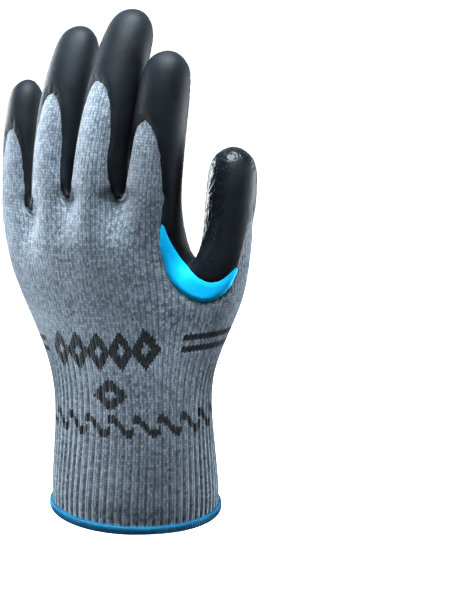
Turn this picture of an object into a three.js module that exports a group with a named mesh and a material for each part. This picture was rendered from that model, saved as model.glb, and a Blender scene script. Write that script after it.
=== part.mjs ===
// Latex coated grip glove: a left hand's glove that keeps the form of the hand it was dipped on.
// Sizes are in millimetres: +Z runs up the fingers, -Y is the back of the hand, +X is the thumb's side.
import * as THREE from 'three';

// The glove's main sizes: hem to the middle finger's tip, and the hand over its knuckles.
const GLOVE_LENGTH = 228;
const PALM_WIDTH = 88;
const PALM_DEPTH = 30;
// In every table below, x and half sizes across are shares of PALM_WIDTH, y and half sizes through
// are shares of PALM_DEPTH, and heights are shares of GLOVE_LENGTH.

// Wall sizes. The envelope is the outer face of the latex; every other face lies inside it.
const LATEX_WALL = 0.9;
const PIECE_GAP = 0.3;
const LINER_WALL = 1.6;
const LINER_OUTER = -(LATEX_WALL + PIECE_GAP);
const LINER_INNER = LINER_OUTER - LINER_WALL;

// Round a finger the columns run: 0 little finger's side, 2 back, 4 thumb's side, 6 palm.
const SIDES = 8;
// A ring of eight points draws in to this share of its size when it is smoothed.
const RING_DRAW = 0.902;
// The last ring of a finger: how far it lies below the tip, its share of the tip's half sizes,
// and how far the middle point of the cap lies above the tip.
const CAP_DROP = 5.5;
const CAP_SHARE = 0.86;
const CAP_RISE = 3.4;

// Fingers: axis points base, bend and tip; half sizes across and through at base, middle and tip.
// bare is the knit tongue on the finger's back: apex is how far it stops below the tip, half its
// half width in degrees, turn the side it faces, grow how much it widens over the glove's length.
const FINGERS = [
  {
    name: 'little',
    base: [-0.7102, 0.4167, 0.5702], bend: [-0.7614, 0.6333, 0.7105], tip: [-0.7557, 1.1, 0.8531],
    across: [0.1091, 0.1045, 0.0943], through: [0.32, 0.3067, 0.2733],
    bare: { apex: 0.1184, half: 48, turn: -12, grow: 34.2 },
  },
  {
    name: 'ring',
    base: [-0.4602, 0.0833, 0.6184], bend: [-0.4659, 0.3, 0.7982], tip: [-0.425, 1.1667, 0.9627],
    across: [0.125, 0.1284, 0.1205], through: [0.3667, 0.3533, 0.3133],
    bare: { apex: 0.1667, half: 50, turn: -12, grow: 34.2 },
  },
  {
    name: 'middle',
    base: [-0.1864, -0.0667, 0.636], bend: [-0.1705, 0.2333, 0.8333], tip: [-0.1045, 1.1167, 0.9978],
    across: [0.1364, 0.142, 0.1261], through: [0.3933, 0.3867, 0.3467],
    bare: { apex: 0.1754, half: 54, turn: -15, grow: 34.2 },
  },
  {
    name: 'index',
    base: [0.1045, 0.16, 0.6316], bend: [0.1159, 0.2267, 0.7895], tip: [0.1477, 0.6333, 0.9276],
    across: [0.1386, 0.1375, 0.1205], through: [0.3967, 0.39, 0.3433],
    bare: { apex: 0.1491, half: 50, turn: -12, grow: 34.2 },
  },
];
const THUMB = {
  name: 'thumb',
  base: [0.458, 0.5333, 0.5132], bend: [0.4602, 0.6667, 0.6272], tip: [0.4489, 0.9333, 0.7412],
  across: [0.1205, 0.1307, 0.117], through: [0.4, 0.39, 0.3367],
  bare: { apex: 0.1404, half: 34, turn: 100, grow: 91.2 },
  rings: [0, 0.14, 0.45, 0.76],
};
// Where the rings of a finger lie, as shares of its length from the base, unless it has its own.
const FINGER_RINGS = [0, 0.2, 0.5, 0.78];
// The end of a tongue is an arch of this height.
const TONGUE_ARCH = 26;
// How far a crotch between two fingers sinks below their bases.
const CROTCH_SINK = 4;

// The palm at the height of the thumb's crotch: one cell under each finger.
const PALM_CELLS = [
  { centre: [-0.6364, 0.3167, 0.4868], across: 0.1193, through: 0.4333 },
  { centre: [-0.4205, 0.1, 0.5132], across: 0.125, through: 0.4833 },
  { centre: [-0.1648, -0.0333, 0.5263], across: 0.1364, through: 0.5 },
  { centre: [0.0795, 0.1, 0.5263], across: 0.1364, through: 0.5 },
];
// The crotch between index finger and thumb: its back, middle and palm points.
const THUMB_CROTCH = {
  back: [0.2955, -0.0333, 0.489], middle: [0.3011, 0.3333, 0.5], palm: [0.2841, 0.6667, 0.4956],
};
// How far the thumb's side of the index finger moves on the row above it, to keep the crotch wide.
const CROTCH_SPREAD = [-0.0341, 0, -0.0175];
const SPREAD_COLUMN = 10;

// Rows below the thumb's crotch: height, share of the round section, its centre and half sizes;
// coat is where the coat ends to either side, in columns from the palm's middle.
const LOWER_ROWS = [
  { z: 0.443, round: 0.25, x: -0.017, y: 0.1333, across: 0.5568, through: 0.6667, coat: [5.6, 4.5] },
  { z: 0.3684, round: 0.55, x: -0.0227, y: 0.0667, across: 0.4545, through: 0.6667, coat: [5.5, 4.3] },
  { z: 0.2895, round: 0.88, x: -0.0205, y: 0.0333, across: 0.4295, through: 0.7167, coat: [5, 3.6] },
  { z: 0.2061, round: 1, x: -0.0034, y: 0, across: 0.4409, through: 0.85, coat: [2.6, 1.6] },
  { z: 0.1053, round: 1, x: 0, y: 0, across: 0.4614, through: 1.0333, coat: [2, 1] },
  { z: 0, round: 1, x: 0, y: 0, across: 0.475, through: 1.1833, coat: [2, 1] },
];

// A column of the hand's rows is about this wide.
const COLUMN_WIDTH = 8;
// Cover: how far inside the coat's edge a cage point lies, in columns; below zero the knit is bare.
// The first two rows run round the fingers' bases and half way down to the thumb's crotch.
const COVER_FINGERS = [
  0.5, -0.25, -1, 0.25, -1.125, 0.25, -1.125, 0.25, -1.125, -0.25, 0.75, 1.5, 1.875, 1.5, 1.875, 1.5,
  1.875, 1.5, 1.875, 1.5,
];
const COVER_UPPER = [
  0.125, -0.75, -1.25, -1, -1.25, -1, -1.25, -1, -1.25, -0.75, 0.625, 1.5, 2.5, 2.5, 2.5, 2.5, 2.5, 2.5,
  2.25, 1.125,
];
const COVER_THUMB = [
  -0.125, -1.125, -1.25, -1.25, -1.25, -1.25, -1.25, -1.25, -1.25, -0.125, -0.125, -0.5, -0.875, -0.25,
  0.75, 1.875, 2.5, 2.5, 2.5, 2.5, 2.5, 2.5, 2, 1,
];
const COVER_CROTCH = 1.25;
const COVER_LEAST = -1.5;
const COVER_MOST = 2.5;
// The height of the heel of the hand, where the coat ends.
const HEEL = 0.1974;

// The web between index finger and thumb, seen from 25 degrees to the thumb's side of the back:
// points along the line of sight's right hand and up. WEB is all the latex there, GUARD the crescent.
const WEB_AZIMUTH = 25;
const WEB = [
  [0.1761, 0.6579], [0.1659, 0.6246], [0.1523, 0.5991], [0.142, 0.5658], [0.1489, 0.5443],
  [0.1614, 0.5224], [0.1898, 0.4882], [0.25, 0.4605], [0.3193, 0.4465], [0.3659, 0.4439],
  [0.4205, 0.4487], [0.4727, 0.4614], [0.5205, 0.4803], [0.55, 0.5057], [0.5716, 0.532],
  [0.5977, 0.5649], [0.6182, 0.5925], [0.6364, 0.6272], [0.5682, 0.6667], [0.3409, 0.6798],
];
const GUARD = [
  [0.1523, 0.5991], [0.142, 0.5658], [0.1489, 0.5443], [0.1614, 0.5224], [0.1898, 0.4882],
  [0.25, 0.4605], [0.3193, 0.4465], [0.3659, 0.4439], [0.4205, 0.4487], [0.4727, 0.4614],
  [0.5205, 0.4803], [0.55, 0.5079], [0.533, 0.514], [0.4955, 0.5009], [0.45, 0.4882], [0.4034, 0.4838],
  [0.3648, 0.4868], [0.3193, 0.4982], [0.2682, 0.5206], [0.225, 0.5469], [0.1898, 0.5728],
  [0.1705, 0.5961],
];
// Where the web's faces are small: this near the crescent, and below this height.
const WEB_NEAR = 3.5;
const WEB_TOP = 0.614;

// The hem round the knit's cut edge: its wall, its height on the knit, and how far the corners of
// its lower and upper edge are cut back.
const HEM_WALL = 0.9;
const HEM_HEIGHT = 2.9;
const HEM_ROUND = 1;
const HEM_TAPER = 0.3;
// Its section: out from the knit's outer face, and up along it.
const HEM_FRONT = PIECE_GAP + HEM_WALL;
const HEM_BACK = -(LINER_WALL + PIECE_GAP + HEM_WALL);
const HEM_SECTION = [
  [PIECE_GAP, HEM_HEIGHT], [HEM_FRONT, HEM_HEIGHT - HEM_TAPER], [HEM_FRONT, 0],
  [HEM_FRONT - HEM_ROUND, -HEM_FRONT], [HEM_BACK + HEM_ROUND, -HEM_FRONT], [HEM_BACK, 0],
  [HEM_BACK, HEM_HEIGHT - HEM_TAPER], [HEM_BACK + HEM_WALL, HEM_HEIGHT],
  [HEM_BACK + HEM_WALL, -PIECE_GAP], [PIECE_GAP, -PIECE_GAP],
];

// Colours of the four pieces.
const COLOURS = { knit: 0x8d9aa6, latex: 0x23262a, guard: 0x1ea5dc, hem: 0x1f86b4 };

// Sums on plain vectors.
const plus = (a, b) => a.map((v, i) => v + b[i]);
const minus = (a, b) => a.map((v, i) => v - b[i]);
const times = (a, s) => a.map((v) => v * s);
const mix = (a, b, t) => a.map((v, i) => v + (b[i] - v) * t);
const dot = (a, b) => a.reduce((sum, v, i) => sum + v * b[i], 0);
const cross = (a, b) => [
  a[1] * b[2] - a[2] * b[1], a[2] * b[0] - a[0] * b[2], a[0] * b[1] - a[1] * b[0],
];
const unit = (a) => times(a, 1 / Math.hypot(...a));
const radians = (degrees) => (degrees * Math.PI) / 180;
const mean = (list) => times(list.reduce(plus), 1 / list.length);
const smooth = (t) => {
  const s = Math.min(1, Math.max(0, t));
  return s * s * (3 - 2 * s);
};
const alongThree = ([a, b, c], t) => a * (1 - t) * (1 - 2 * t) + 4 * b * t * (1 - t) + c * t * (2 * t - 1);

// Lengths from a table's shares.
const inWidth = (share) => share * PALM_WIDTH;
const inDepth = (share) => share * PALM_DEPTH;
const inLength = (share) => share * GLOVE_LENGTH;
const place = ([x, y, z]) => [inWidth(x), inDepth(y), inLength(z)];
const outlineOf = (shares) => shares.map(([a, b]) => [inWidth(a), inLength(b)]);

// A point of a limb's axis, and the frame of the axis there.
function axisPoint(limb, t) {
  const [base, bend, tip] = [limb.base, limb.bend, limb.tip].map(place);
  return mix(mix(base, bend, t), mix(bend, tip, t), t);
}
function axisFrame(limb, t) {
  const [base, bend, tip] = [limb.base, limb.bend, limb.tip].map(place);
  const up = unit(mix(minus(bend, base), minus(tip, bend), t));
  const palm = unit(cross(up, [1, 0, 0]));
  return { up, palm, side: cross(palm, up) };
}

// Samples of a limb's axis with the length still to go to the tip.
function sampleAxis(limb, count = 48) {
  const samples = Array.from({ length: count + 1 }, (_, i) => {
    return { point: axisPoint(limb, i / count), ...axisFrame(limb, i / count), toTip: 0 };
  });
  for (let i = count - 1; i >= 0; i -= 1) {
    const step = Math.hypot(...minus(samples[i + 1].point, samples[i].point));
    samples[i].toTip = samples[i + 1].toTip + step;
  }
  return samples;
}

// One ring of eight points round a limb's axis.
function limbRing(limb, t, share = 1) {
  const { palm, side } = axisFrame(limb, t);
  const across = (inWidth(alongThree(limb.across, t)) * share) / RING_DRAW;
  const through = (inDepth(alongThree(limb.through, t)) * share) / RING_DRAW;
  return Array.from({ length: SIDES }, (_, k) => {
    const angle = (k * 2 * Math.PI) / SIDES;
    const out = plus(times(side, -Math.cos(angle) * across), times(palm, -Math.sin(angle) * through));
    return plus(axisPoint(limb, t), out);
  });
}

// The control cage. A point holds x, y, z, its limb share (1 on a finger, 0 on the hand) and cover.
class Cage {
  points = [];

  faces = [];

  add(point, limbShare, cover) {
    this.points.push([...point, limbShare, cover]);
    return this.points.length - 1;
  }

  face(corners, owner) {
    this.faces.push({ corners, owner });
  }

  // The band of faces between two closed rows of the same length.
  band(lower, upper, owner) {
    lower.forEach((_, i) => {
      const j = (i + 1) % lower.length;
      this.face([lower[i], lower[j], upper[j], upper[i]], owner);
    });
  }

  // The rings and the cap of a limb above its base ring.
  limb(limb, baseRing) {
    const samples = sampleAxis(limb);
    const length = samples[0].toTip;
    const rings = (limb.rings ?? FINGER_RINGS).slice(1).map((t) => limbRing(limb, t));
    rings.push(limbRing(limb, 1 - CAP_DROP / length, CAP_SHARE));
    let lower = baseRing;
    rings.forEach((ring) => {
      const upper = ring.map((point) => this.add(point, 1, limbCover(limb, samples, point)));
      this.band(lower, upper, limb);
      lower = upper;
    });
    const tip = plus(place(limb.tip), times(axisFrame(limb, 1).up, CAP_RISE));
    const middle = this.add(tip, 1, COVER_CROTCH * COLUMN_WIDTH);
    for (let k = 0; k < SIDES; k += 2) {
      this.face([lower[k], lower[k + 1], lower[(k + 2) % SIDES], middle], limb);
    }
  }
}

// The closed row round the four fingers' bases, and the base ring of each finger.
function fingerBases(cage) {
  const rings = FINGERS.map((limb) => limbRing(limb, 0));
  const ids = FINGERS.map(() => new Array(SIDES));
  const sink = [0, 0, -CROTCH_SINK];
  for (let i = 0; i < 3; i += 1) {
    [[3, 1, 0.8], [4, 0, 1], [5, 7, 0.8]].forEach(([k, other, share]) => {
      const point = plus(mean([rings[i][k], rings[i + 1][other]]), times(sink, share));
      const id = cage.add(point, 0, 0);
      ids[i][k] = id;
      ids[i + 1][other] = id;
    });
  }
  rings.forEach((ring, i) => ring.forEach((point, k) => {
    ids[i][k] ??= cage.add(point, 0, 0);
  }));
  const [p, r, m, x] = ids;
  const row = [
    p[0], p[1], p[2], p[3], r[2], r[3], m[2], m[3], x[2], x[3],
    x[4], x[5], x[6], m[5], m[6], r[5], r[6], p[5], p[6], p[7],
  ];
  FINGERS.forEach((_, i) => ids[i].forEach((id) => { cage.points[id][4] = COVER_CROTCH * COLUMN_WIDTH; }));
  row.forEach((id, i) => { cage.points[id][4] = COVER_FINGERS[i] * COLUMN_WIDTH; });
  return { ids, row };
}

// The row at the thumb's crotch: its 24 points in order, without the crotch's middle.
function thumbRow() {
  const [p, r, m, x] = PALM_CELLS;
  const beside = (cell, across, through) => place(plus(cell.centre, [across, through, 0]));
  const back = (cell) => beside(cell, 0, -cell.through);
  const palm = (cell) => beside(cell, 0, cell.through);
  const corner = (cell, sign) => beside(cell, -cell.across * 0.8, sign * cell.through * 0.74);
  const ring = limbRing(THUMB, 0);
  return [
    beside(p, -p.across, 0), corner(p, -1), back(p), mean([back(p), back(r)]),
    back(r), mean([back(r), back(m)]), back(m), mean([back(m), back(x)]), back(x),
    place(THUMB_CROTCH.back), ring[2], ring[3], ring[4], ring[5], ring[6], place(THUMB_CROTCH.palm),
    palm(x), mean([palm(m), palm(x)]), palm(m), mean([palm(r), palm(m)]),
    palm(r), mean([palm(p), palm(r)]), palm(p), corner(p, 1),
  ];
}

// How far inside the coat's edge a point of a lower row lies.
function lowerCover(column, { z, coat: [ulnar, radial] }) {
  const fromPalm = column < 6 ? column + 6 : column - 18;
  const sides = Math.min(ulnar - fromPalm, fromPalm + radial, COVER_MOST) * COLUMN_WIDTH;
  return Math.max(COVER_LEAST * COLUMN_WIDTH, Math.min(sides, inLength(z - HEEL)));
}

function buildCage() {
  const cage = new Cage();
  const { ids, row } = fingerBases(cage);
  const outline = thumbRow();
  const crotch = cage.add(place(THUMB_CROTCH.middle), 0, COVER_CROTCH * COLUMN_WIDTH);
  const thumbIds = outline.map((point, i) => cage.add(point, 0, COVER_THUMB[i] * COLUMN_WIDTH));
  const short = [...thumbIds.slice(0, 10), crotch, ...thumbIds.slice(15)];
  const upper = row.map((id, i) => {
    const point = mix(cage.points[id].slice(0, 3), cage.points[short[i]].slice(0, 3), 0.5);
    const spread = i === SPREAD_COLUMN ? place(CROTCH_SPREAD) : [0, 0, 0];
    return cage.add(plus(point, spread), 0, COVER_UPPER[i] * COLUMN_WIDTH);
  });
  cage.band(upper, row, null);
  cage.band(short, upper, null);
  FINGERS.forEach((limb, i) => cage.limb(limb, ids[i]));
  cage.limb(THUMB, [crotch, ...thumbIds.slice(9, 16)]);
  let above = thumbIds;
  LOWER_ROWS.forEach((line) => {
    const below = outline.map((point, column) => {
      const angle = Math.PI - (column * 2 * Math.PI) / outline.length;
      const x = inWidth(line.x + line.across * Math.cos(angle));
      const y = inDepth(line.y - line.through * Math.sin(angle));
      const flat = mix(point.slice(0, 2), [x, y], line.round);
      return cage.add([...flat, inLength(line.z)], 0, lowerCover(column, line));
    });
    cage.band(below, above, null);
    above = below;
  });
  return cage;
}

// One step of Catmull-Clark smoothing on all channels. Corners of the new faces: the old corner,
// the middle of the next edge, the face's middle, the middle of the edge before.
function smoothOnce({ points, faces }) {
  const edges = new Map();
  const edgeOf = (a, b) => {
    const key = a < b ? a * 65536 + b : b * 65536 + a;
    if (!edges.has(key)) edges.set(key, { ends: [a, b], faces: [] });
    return edges.get(key);
  };
  const middles = faces.map((face) => mean(face.corners.map((id) => points[id])));
  faces.forEach((face, f) => face.corners.forEach((id, i) => {
    edgeOf(id, face.corners[(i + 1) % 4]).faces.push(f);
  }));
  const around = points.map(() => ({ faces: [], edges: [], rim: [] }));
  faces.forEach((face, f) => face.corners.forEach((id) => around[id].faces.push(f)));
  const result = points.map(() => null);
  edges.forEach((edge) => {
    const [a, b] = edge.ends;
    const middle = mean([points[a], points[b]]);
    around[a].edges.push(middle);
    around[b].edges.push(middle);
    if (edge.faces.length === 1) {
      around[a].rim.push(points[b]);
      around[b].rim.push(points[a]);
    }
    const wings = edge.faces.map((f) => middles[f]);
    edge.id = result.length;
    result.push(wings.length === 2 ? mean([points[a], points[b], ...wings]) : middle);
  });
  points.forEach((point, i) => {
    const { faces: near, edges: spokes, rim } = around[i];
    const n = near.length;
    if (rim.length) {
      result[i] = plus(times(point, 0.75), times(plus(rim[0], rim[1]), 0.125));
    } else {
      const pull = plus(mean(near.map((f) => middles[f])), times(mean(spokes), 2));
      result[i] = times(plus(pull, times(point, n - 3)), 1 / n);
    }
  });
  const smaller = [];
  const first = result.length;
  faces.forEach((face, f) => {
    result.push(middles[f]);
    face.corners.forEach((id, i) => {
      const next = edgeOf(id, face.corners[(i + 1) % 4]).id;
      const before = edgeOf(id, face.corners[(i + 3) % 4]).id;
      smaller.push({ corners: [id, next, first + f, before], owner: face.owner });
    });
  });
  return { points: result, faces: smaller };
}

// Every channel moved to where endless smoothing would bring it.
function toLimit({ points, faces }) {
  const sums = points.map(() => ({ total: null, n: 0, rim: [] }));
  const spokes = points.map(() => new Map());
  faces.forEach(({ corners }) => corners.forEach((id, i) => {
    const next = corners[(i + 1) % 4];
    const before = corners[(i + 3) % 4];
    const far = points[corners[(i + 2) % 4]];
    sums[id].total = sums[id].total ? plus(sums[id].total, far) : far;
    sums[id].n += 1;
    [next, before].forEach((other) => {
      spokes[id].set(other, (spokes[id].get(other) ?? 0) + 1);
    });
  }));
  return points.map((point, i) => {
    const { total, n } = sums[i];
    const rim = [...spokes[i]].filter(([, used]) => used === 1).map(([other]) => points[other]);
    if (rim.length) {
      return plus(times(point, 2 / 3), times(plus(rim[0], rim[1]), 1 / 6));
    }
    const near = [...spokes[i].keys()].map((other) => points[other]).reduce(plus);
    return times(plus(plus(times(point, n * n), times(near, 4)), total), 1 / (n * (n + 5)));
  });
}

// Distance from a point to a closed outline, above zero inside.
function insideOutline(outline, x, y) {
  let inside = false;
  let nearest = Infinity;
  outline.forEach(([ax, ay], i) => {
    const [bx, by] = outline[(i + 1) % outline.length];
    if ((ay > y) !== (by > y) && x < ((bx - ax) * (y - ay)) / (by - ay) + ax) inside = !inside;
    const t = ((x - ax) * (bx - ax) + (y - ay) * (by - ay)) / ((bx - ax) ** 2 + (by - ay) ** 2);
    const s = Math.min(1, Math.max(0, t));
    nearest = Math.min(nearest, Math.hypot(x - ax - s * (bx - ax), y - ay - s * (by - ay)));
  });
  return inside ? nearest : -nearest;
}

// How far inside the coat a point of a limb lies, from its place round and along the limb.
function limbCover(limb, samples, point) {
  let best = samples[0];
  let least = Infinity;
  samples.forEach((sample) => {
    const gap = minus(point, sample.point);
    const distance = dot(gap, gap);
    if (distance < least) {
      least = distance;
      best = sample;
    }
  });
  const gap = minus(point, best.point);
  const toTip = best.toTip - dot(gap, best.up);
  const turn = Math.atan2(dot(gap, best.side), -dot(gap, best.palm)) - radians(limb.bare.turn);
  const away = Math.abs(Math.atan2(Math.sin(turn), Math.cos(turn)));
  const apex = inLength(limb.bare.apex);
  const widened = (limb.bare.grow * Math.max(0, toTip - apex)) / GLOVE_LENGTH;
  const half = radians(limb.bare.half + widened);
  const edge = Math.hypot(away / half, Math.max(0, apex + TONGUE_ARCH - toTip) / TONGUE_ARCH);
  return (edge - 1) * half * inWidth(limb.across[1]);
}

// The surface of the envelope: limit points, outward normals, and the cover and guard fields.
function buildSurface() {
  const coarse = smoothOnce(buildCage());
  const fine = smoothOnce(coarse);
  const limit = toLimit(fine);
  const normals = limit.map(() => [0, 0, 0]);
  const owners = limit.map(() => null);
  fine.faces.forEach(({ corners, owner }) => {
    const [a, b, c, d] = corners.map((id) => limit[id].slice(0, 3));
    const normal = cross(minus(c, a), minus(d, b));
    corners.forEach((id) => {
      normals[id] = plus(normals[id], normal);
      owners[id] = owners[id] ?? owner;
    });
  });
  const axes = new Map([...FINGERS, THUMB].map((limb) => [limb, sampleAxis(limb)]));
  const sight = [Math.sin(radians(WEB_AZIMUTH)), -Math.cos(radians(WEB_AZIMUTH)), 0];
  const right = [Math.cos(radians(WEB_AZIMUTH)), Math.sin(radians(WEB_AZIMUTH)), 0];
  const web = outlineOf(WEB);
  const crescent = outlineOf(GUARD);
  const vertices = limit.map((channels, i) => {
    const point = channels.slice(0, 3);
    const normal = unit(normals[i]);
    let cover = channels[4];
    if (owners[i]) {
      cover = mix([cover], [limbCover(owners[i], axes.get(owners[i]), point)], smooth(channels[3]))[0];
    }
    let guard = -COVER_MOST * COLUMN_WIDTH;
    if (dot(normal, sight) > 0.05) {
      const across = dot(point, right);
      cover = Math.max(cover, insideOutline(web, across, point[2]));
      guard = insideOutline(crescent, across, point[2]);
    }
    return { point, normal, cover, guard };
  });
  return { vertices, coarse, fine };
}

// The surface's faces: four small ones in place of a large one wherever wanted is true.
function adaptFaces({ vertices, coarse, fine }, wanted) {
  const split = coarse.faces.map((face, f) => {
    const parts = fine.faces.slice(4 * f, 4 * f + 4);
    return parts.some(({ corners }) => corners.some((id) => wanted(vertices[id])));
  });
  const hanging = new Set();
  split.forEach((yes, f) => {
    if (yes) fine.faces.slice(4 * f, 4 * f + 4).forEach(({ corners }) => hanging.add(corners[1]));
  });
  const result = [];
  coarse.faces.forEach((_, f) => {
    const parts = fine.faces.slice(4 * f, 4 * f + 4).map((face) => face.corners);
    if (split[f]) {
      result.push(...parts);
    } else {
      result.push(parts.flatMap(([corner, next]) => (hanging.has(next) ? [corner, next] : [corner])));
    }
  });
  return result;
}

// Triangles of a face: a quad along its shorter diagonal, a longer one as a fan.
function triangulate(corners, vertices) {
  if (corners.length !== 4) {
    const centreFirst = corners.findIndex((_, i) => i % 2 === 1);
    const order = [...corners.slice(centreFirst), ...corners.slice(0, centreFirst)];
    return order.slice(2).map((id, i) => [order[0], order[i + 1], id]);
  }
  const [a, b, c, d] = corners;
  const far = (i, j) => Math.hypot(...minus(vertices[i].point, vertices[j].point));
  return far(a, c) <= far(b, d) ? [[a, b, c], [a, c, d]] : [[b, c, d], [b, d, a]];
}

// The part of the surface where field is above zero, as triangles over a longer vertex list.
function clipSurface(vertices, faces, field) {
  const list = [...vertices];
  const value = vertices.map(field);
  const triangles = faces.flatMap((corners) => triangulate(corners, vertices));
  triangles.forEach((corners) => corners.forEach((a, i) => {
    const b = corners[(i + 1) % 3];
    if (value[a] * value[b] >= 0) return;
    const t = value[a] / (value[a] - value[b]);
    if (t < 0.12) value[a] = 0;
    if (t > 0.88) value[b] = 0;
  }));
  const cuts = new Map();
  const cut = (a, b) => {
    const key = a < b ? `${a}/${b}` : `${b}/${a}`;
    if (!cuts.has(key)) {
      const t = value[a] / (value[a] - value[b]);
      const point = mix(vertices[a].point, vertices[b].point, t);
      const normal = unit(mix(vertices[a].normal, vertices[b].normal, t));
      cuts.set(key, list.push({ point, normal }) - 1);
    }
    return cuts.get(key);
  };
  const kept = [];
  triangles.forEach((corners) => {
    const shape = [];
    corners.forEach((a, i) => {
      const b = corners[(i + 1) % 3];
      if (value[a] >= 0) shape.push(a);
      if (value[a] * value[b] < 0) shape.push(cut(a, b));
    });
    if (shape.length < 3 || corners.every((id) => value[id] <= 0)) return;
    for (let i = 2; i < shape.length; i += 1) kept.push([shape[0], shape[i - 1], shape[i]]);
  });
  return { list, triangles: kept };
}

// A closed wall between two offsets of a surface.
function thicken({ list, triangles }, outer, inner) {
  const points = [];
  const seen = new Map();
  const at = (id, offset) => {
    const key = `${id}/${offset}`;
    if (!seen.has(key)) {
      const { point, normal } = list[id];
      seen.set(key, points.push(plus(point, times(normal, offset))) - 1);
    }
    return seen.get(key);
  };
  const indices = [];
  const directed = new Set(triangles.flatMap(([a, b, c]) => [`${a}/${b}`, `${b}/${c}`, `${c}/${a}`]));
  triangles.forEach(([a, b, c]) => {
    indices.push([at(a, outer), at(b, outer), at(c, outer)]);
    indices.push([at(c, inner), at(b, inner), at(a, inner)]);
    [[a, b], [b, c], [c, a]].filter(([u, v]) => !directed.has(`${v}/${u}`)).forEach(([u, v]) => {
      indices.push([at(v, outer), at(u, outer), at(u, inner)]);
      indices.push([at(v, outer), at(u, inner), at(v, inner)]);
    });
  });
  return { points, indices };
}

function toMesh(name, { points, indices }, colour, roughness) {
  const geometry = new THREE.BufferGeometry();
  geometry.setAttribute('position', new THREE.Float32BufferAttribute(points.flat(), 3));
  geometry.setIndex(indices.flat());
  geometry.computeVertexNormals();
  const material = new THREE.MeshStandardMaterial({ color: colour, roughness, metalness: 0 });
  const mesh = new THREE.Mesh(geometry, material);
  mesh.name = name;
  return mesh;
}

// The hem: a band of one section swept round the cut edge of the knit.
function buildHem(surface) {
  const { vertices, fine, coarse } = surface;
  const rimRow = LOWER_ROWS[LOWER_ROWS.length - 1];
  const isRim = (id) => vertices[id].point[2] < 0.01;
  const above = new Map();
  coarse.faces.forEach((_, f) => {
    const ids = fine.faces.slice(4 * f, 4 * f + 4).map((face) => face.corners[0]);
    ids.forEach((id, i) => {
      const next = ids[(i + 1) % 4];
      const before = ids[(i + 3) % 4];
      if (isRim(id) && !isRim(before)) above.set(id, before);
      if (isRim(id) && !isRim(next)) above.set(id, next);
    });
  });
  const angle = (id) => Math.atan2(vertices[id].point[1], vertices[id].point[0]);
  const rim = [...above.keys()].sort((a, b) => angle(a) - angle(b));
  const points = rim.flatMap((id) => {
    const face = (key) => plus(vertices[key].point, times(vertices[key].normal, LINER_OUTER));
    const origin = face(id);
    const up = unit(minus(face(above.get(id)), origin));
    const out = unit([origin[0] / inWidth(rimRow.across) ** 2, origin[1] / inDepth(rimRow.through) ** 2, 0]);
    return HEM_SECTION.map(([o, h]) => plus([origin[0], origin[1], 0], plus(times(out, o), times(up, h))));
  });
  const indices = [];
  const size = HEM_SECTION.length;
  rim.forEach((_, i) => {
    const next = ((i + 1) % rim.length) * size;
    for (let k = 0; k < size; k += 1) {
      const l = (k + 1) % size;
      indices.push([i * size + k, next + l, next + k], [i * size + k, i * size + l, next + l]);
    }
  });
  return { points, indices };
}

function build() {
  const surface = buildSurface();
  const { vertices } = surface;
  const inWeb = ({ point, normal, guard }) => {
    return guard > -WEB_NEAR && normal[1] < 0.3 && point[2] < inLength(WEB_TOP);
  };
  const faces = adaptFaces(surface, inWeb);
  const plain = adaptFaces(surface, () => false);

  // The knit: outer face with the web's finer faces, inner face without, joined round the wrist.
  const outer = clipSurface(vertices, faces, () => 1);
  const innerFaces = plain.flatMap((corners) => triangulate(corners, vertices));
  const knit = { points: [], indices: [] };
  const made = new Map();
  const at = (id, offset) => {
    const key = `${id}/${offset}`;
    if (!made.has(key)) {
      const { point, normal } = vertices[id];
      const moved = plus(point, times(normal, offset));
      if (point[2] < 0.01) moved[2] = 0;
      made.set(key, knit.points.push(moved) - 1);
    }
    return made.get(key);
  };
  const directed = new Set(innerFaces.flatMap(([a, b, c]) => [`${a}/${b}`, `${b}/${c}`, `${c}/${a}`]));
  outer.triangles.forEach((ids) => knit.indices.push(ids.map((id) => at(id, LINER_OUTER))));
  innerFaces.forEach(([a, b, c]) => {
    knit.indices.push([at(c, LINER_INNER), at(b, LINER_INNER), at(a, LINER_INNER)]);
    [[a, b], [b, c], [c, a]].filter(([u, v]) => !directed.has(`${v}/${u}`)).forEach(([u, v]) => {
      knit.indices.push([at(v, LINER_OUTER), at(u, LINER_OUTER), at(u, LINER_INNER)]);
      knit.indices.push([at(v, LINER_OUTER), at(u, LINER_INNER), at(v, LINER_INNER)]);
    });
  });

  const half = PIECE_GAP / 2;
  const coat = clipSurface(vertices, faces, (v) => Math.min(v.cover, -v.guard - half));
  const guard = clipSurface(vertices, faces, (v) => v.guard - half);
  const group = new THREE.Group();
  group.name = 'latex_coated_grip_glove';
  group.add(toMesh('knit_liner', knit, COLOURS.knit, 0.95));
  group.add(toMesh('latex_coat', thicken(coat, 0, -LATEX_WALL), COLOURS.latex, 0.45));
  group.add(toMesh('crotch_guard', thicken(guard, 0, -LATEX_WALL), COLOURS.guard, 0.4));
  group.add(toMesh('cuff_binding', buildHem(surface), COLOURS.hem, 0.85));
  return group;
}

export default build();
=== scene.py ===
"""Looks of the latex coated grip glove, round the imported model.

A heather knit liner has knitted-in bands, and over it lie a black latex coat, a blue latex crescent
in the thumb's crotch and a blue overlocked hem. Lengths are in metres: +Z runs up the fingers,
-Y is the back of the hand, +X is the thumb's side.
"""

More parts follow.
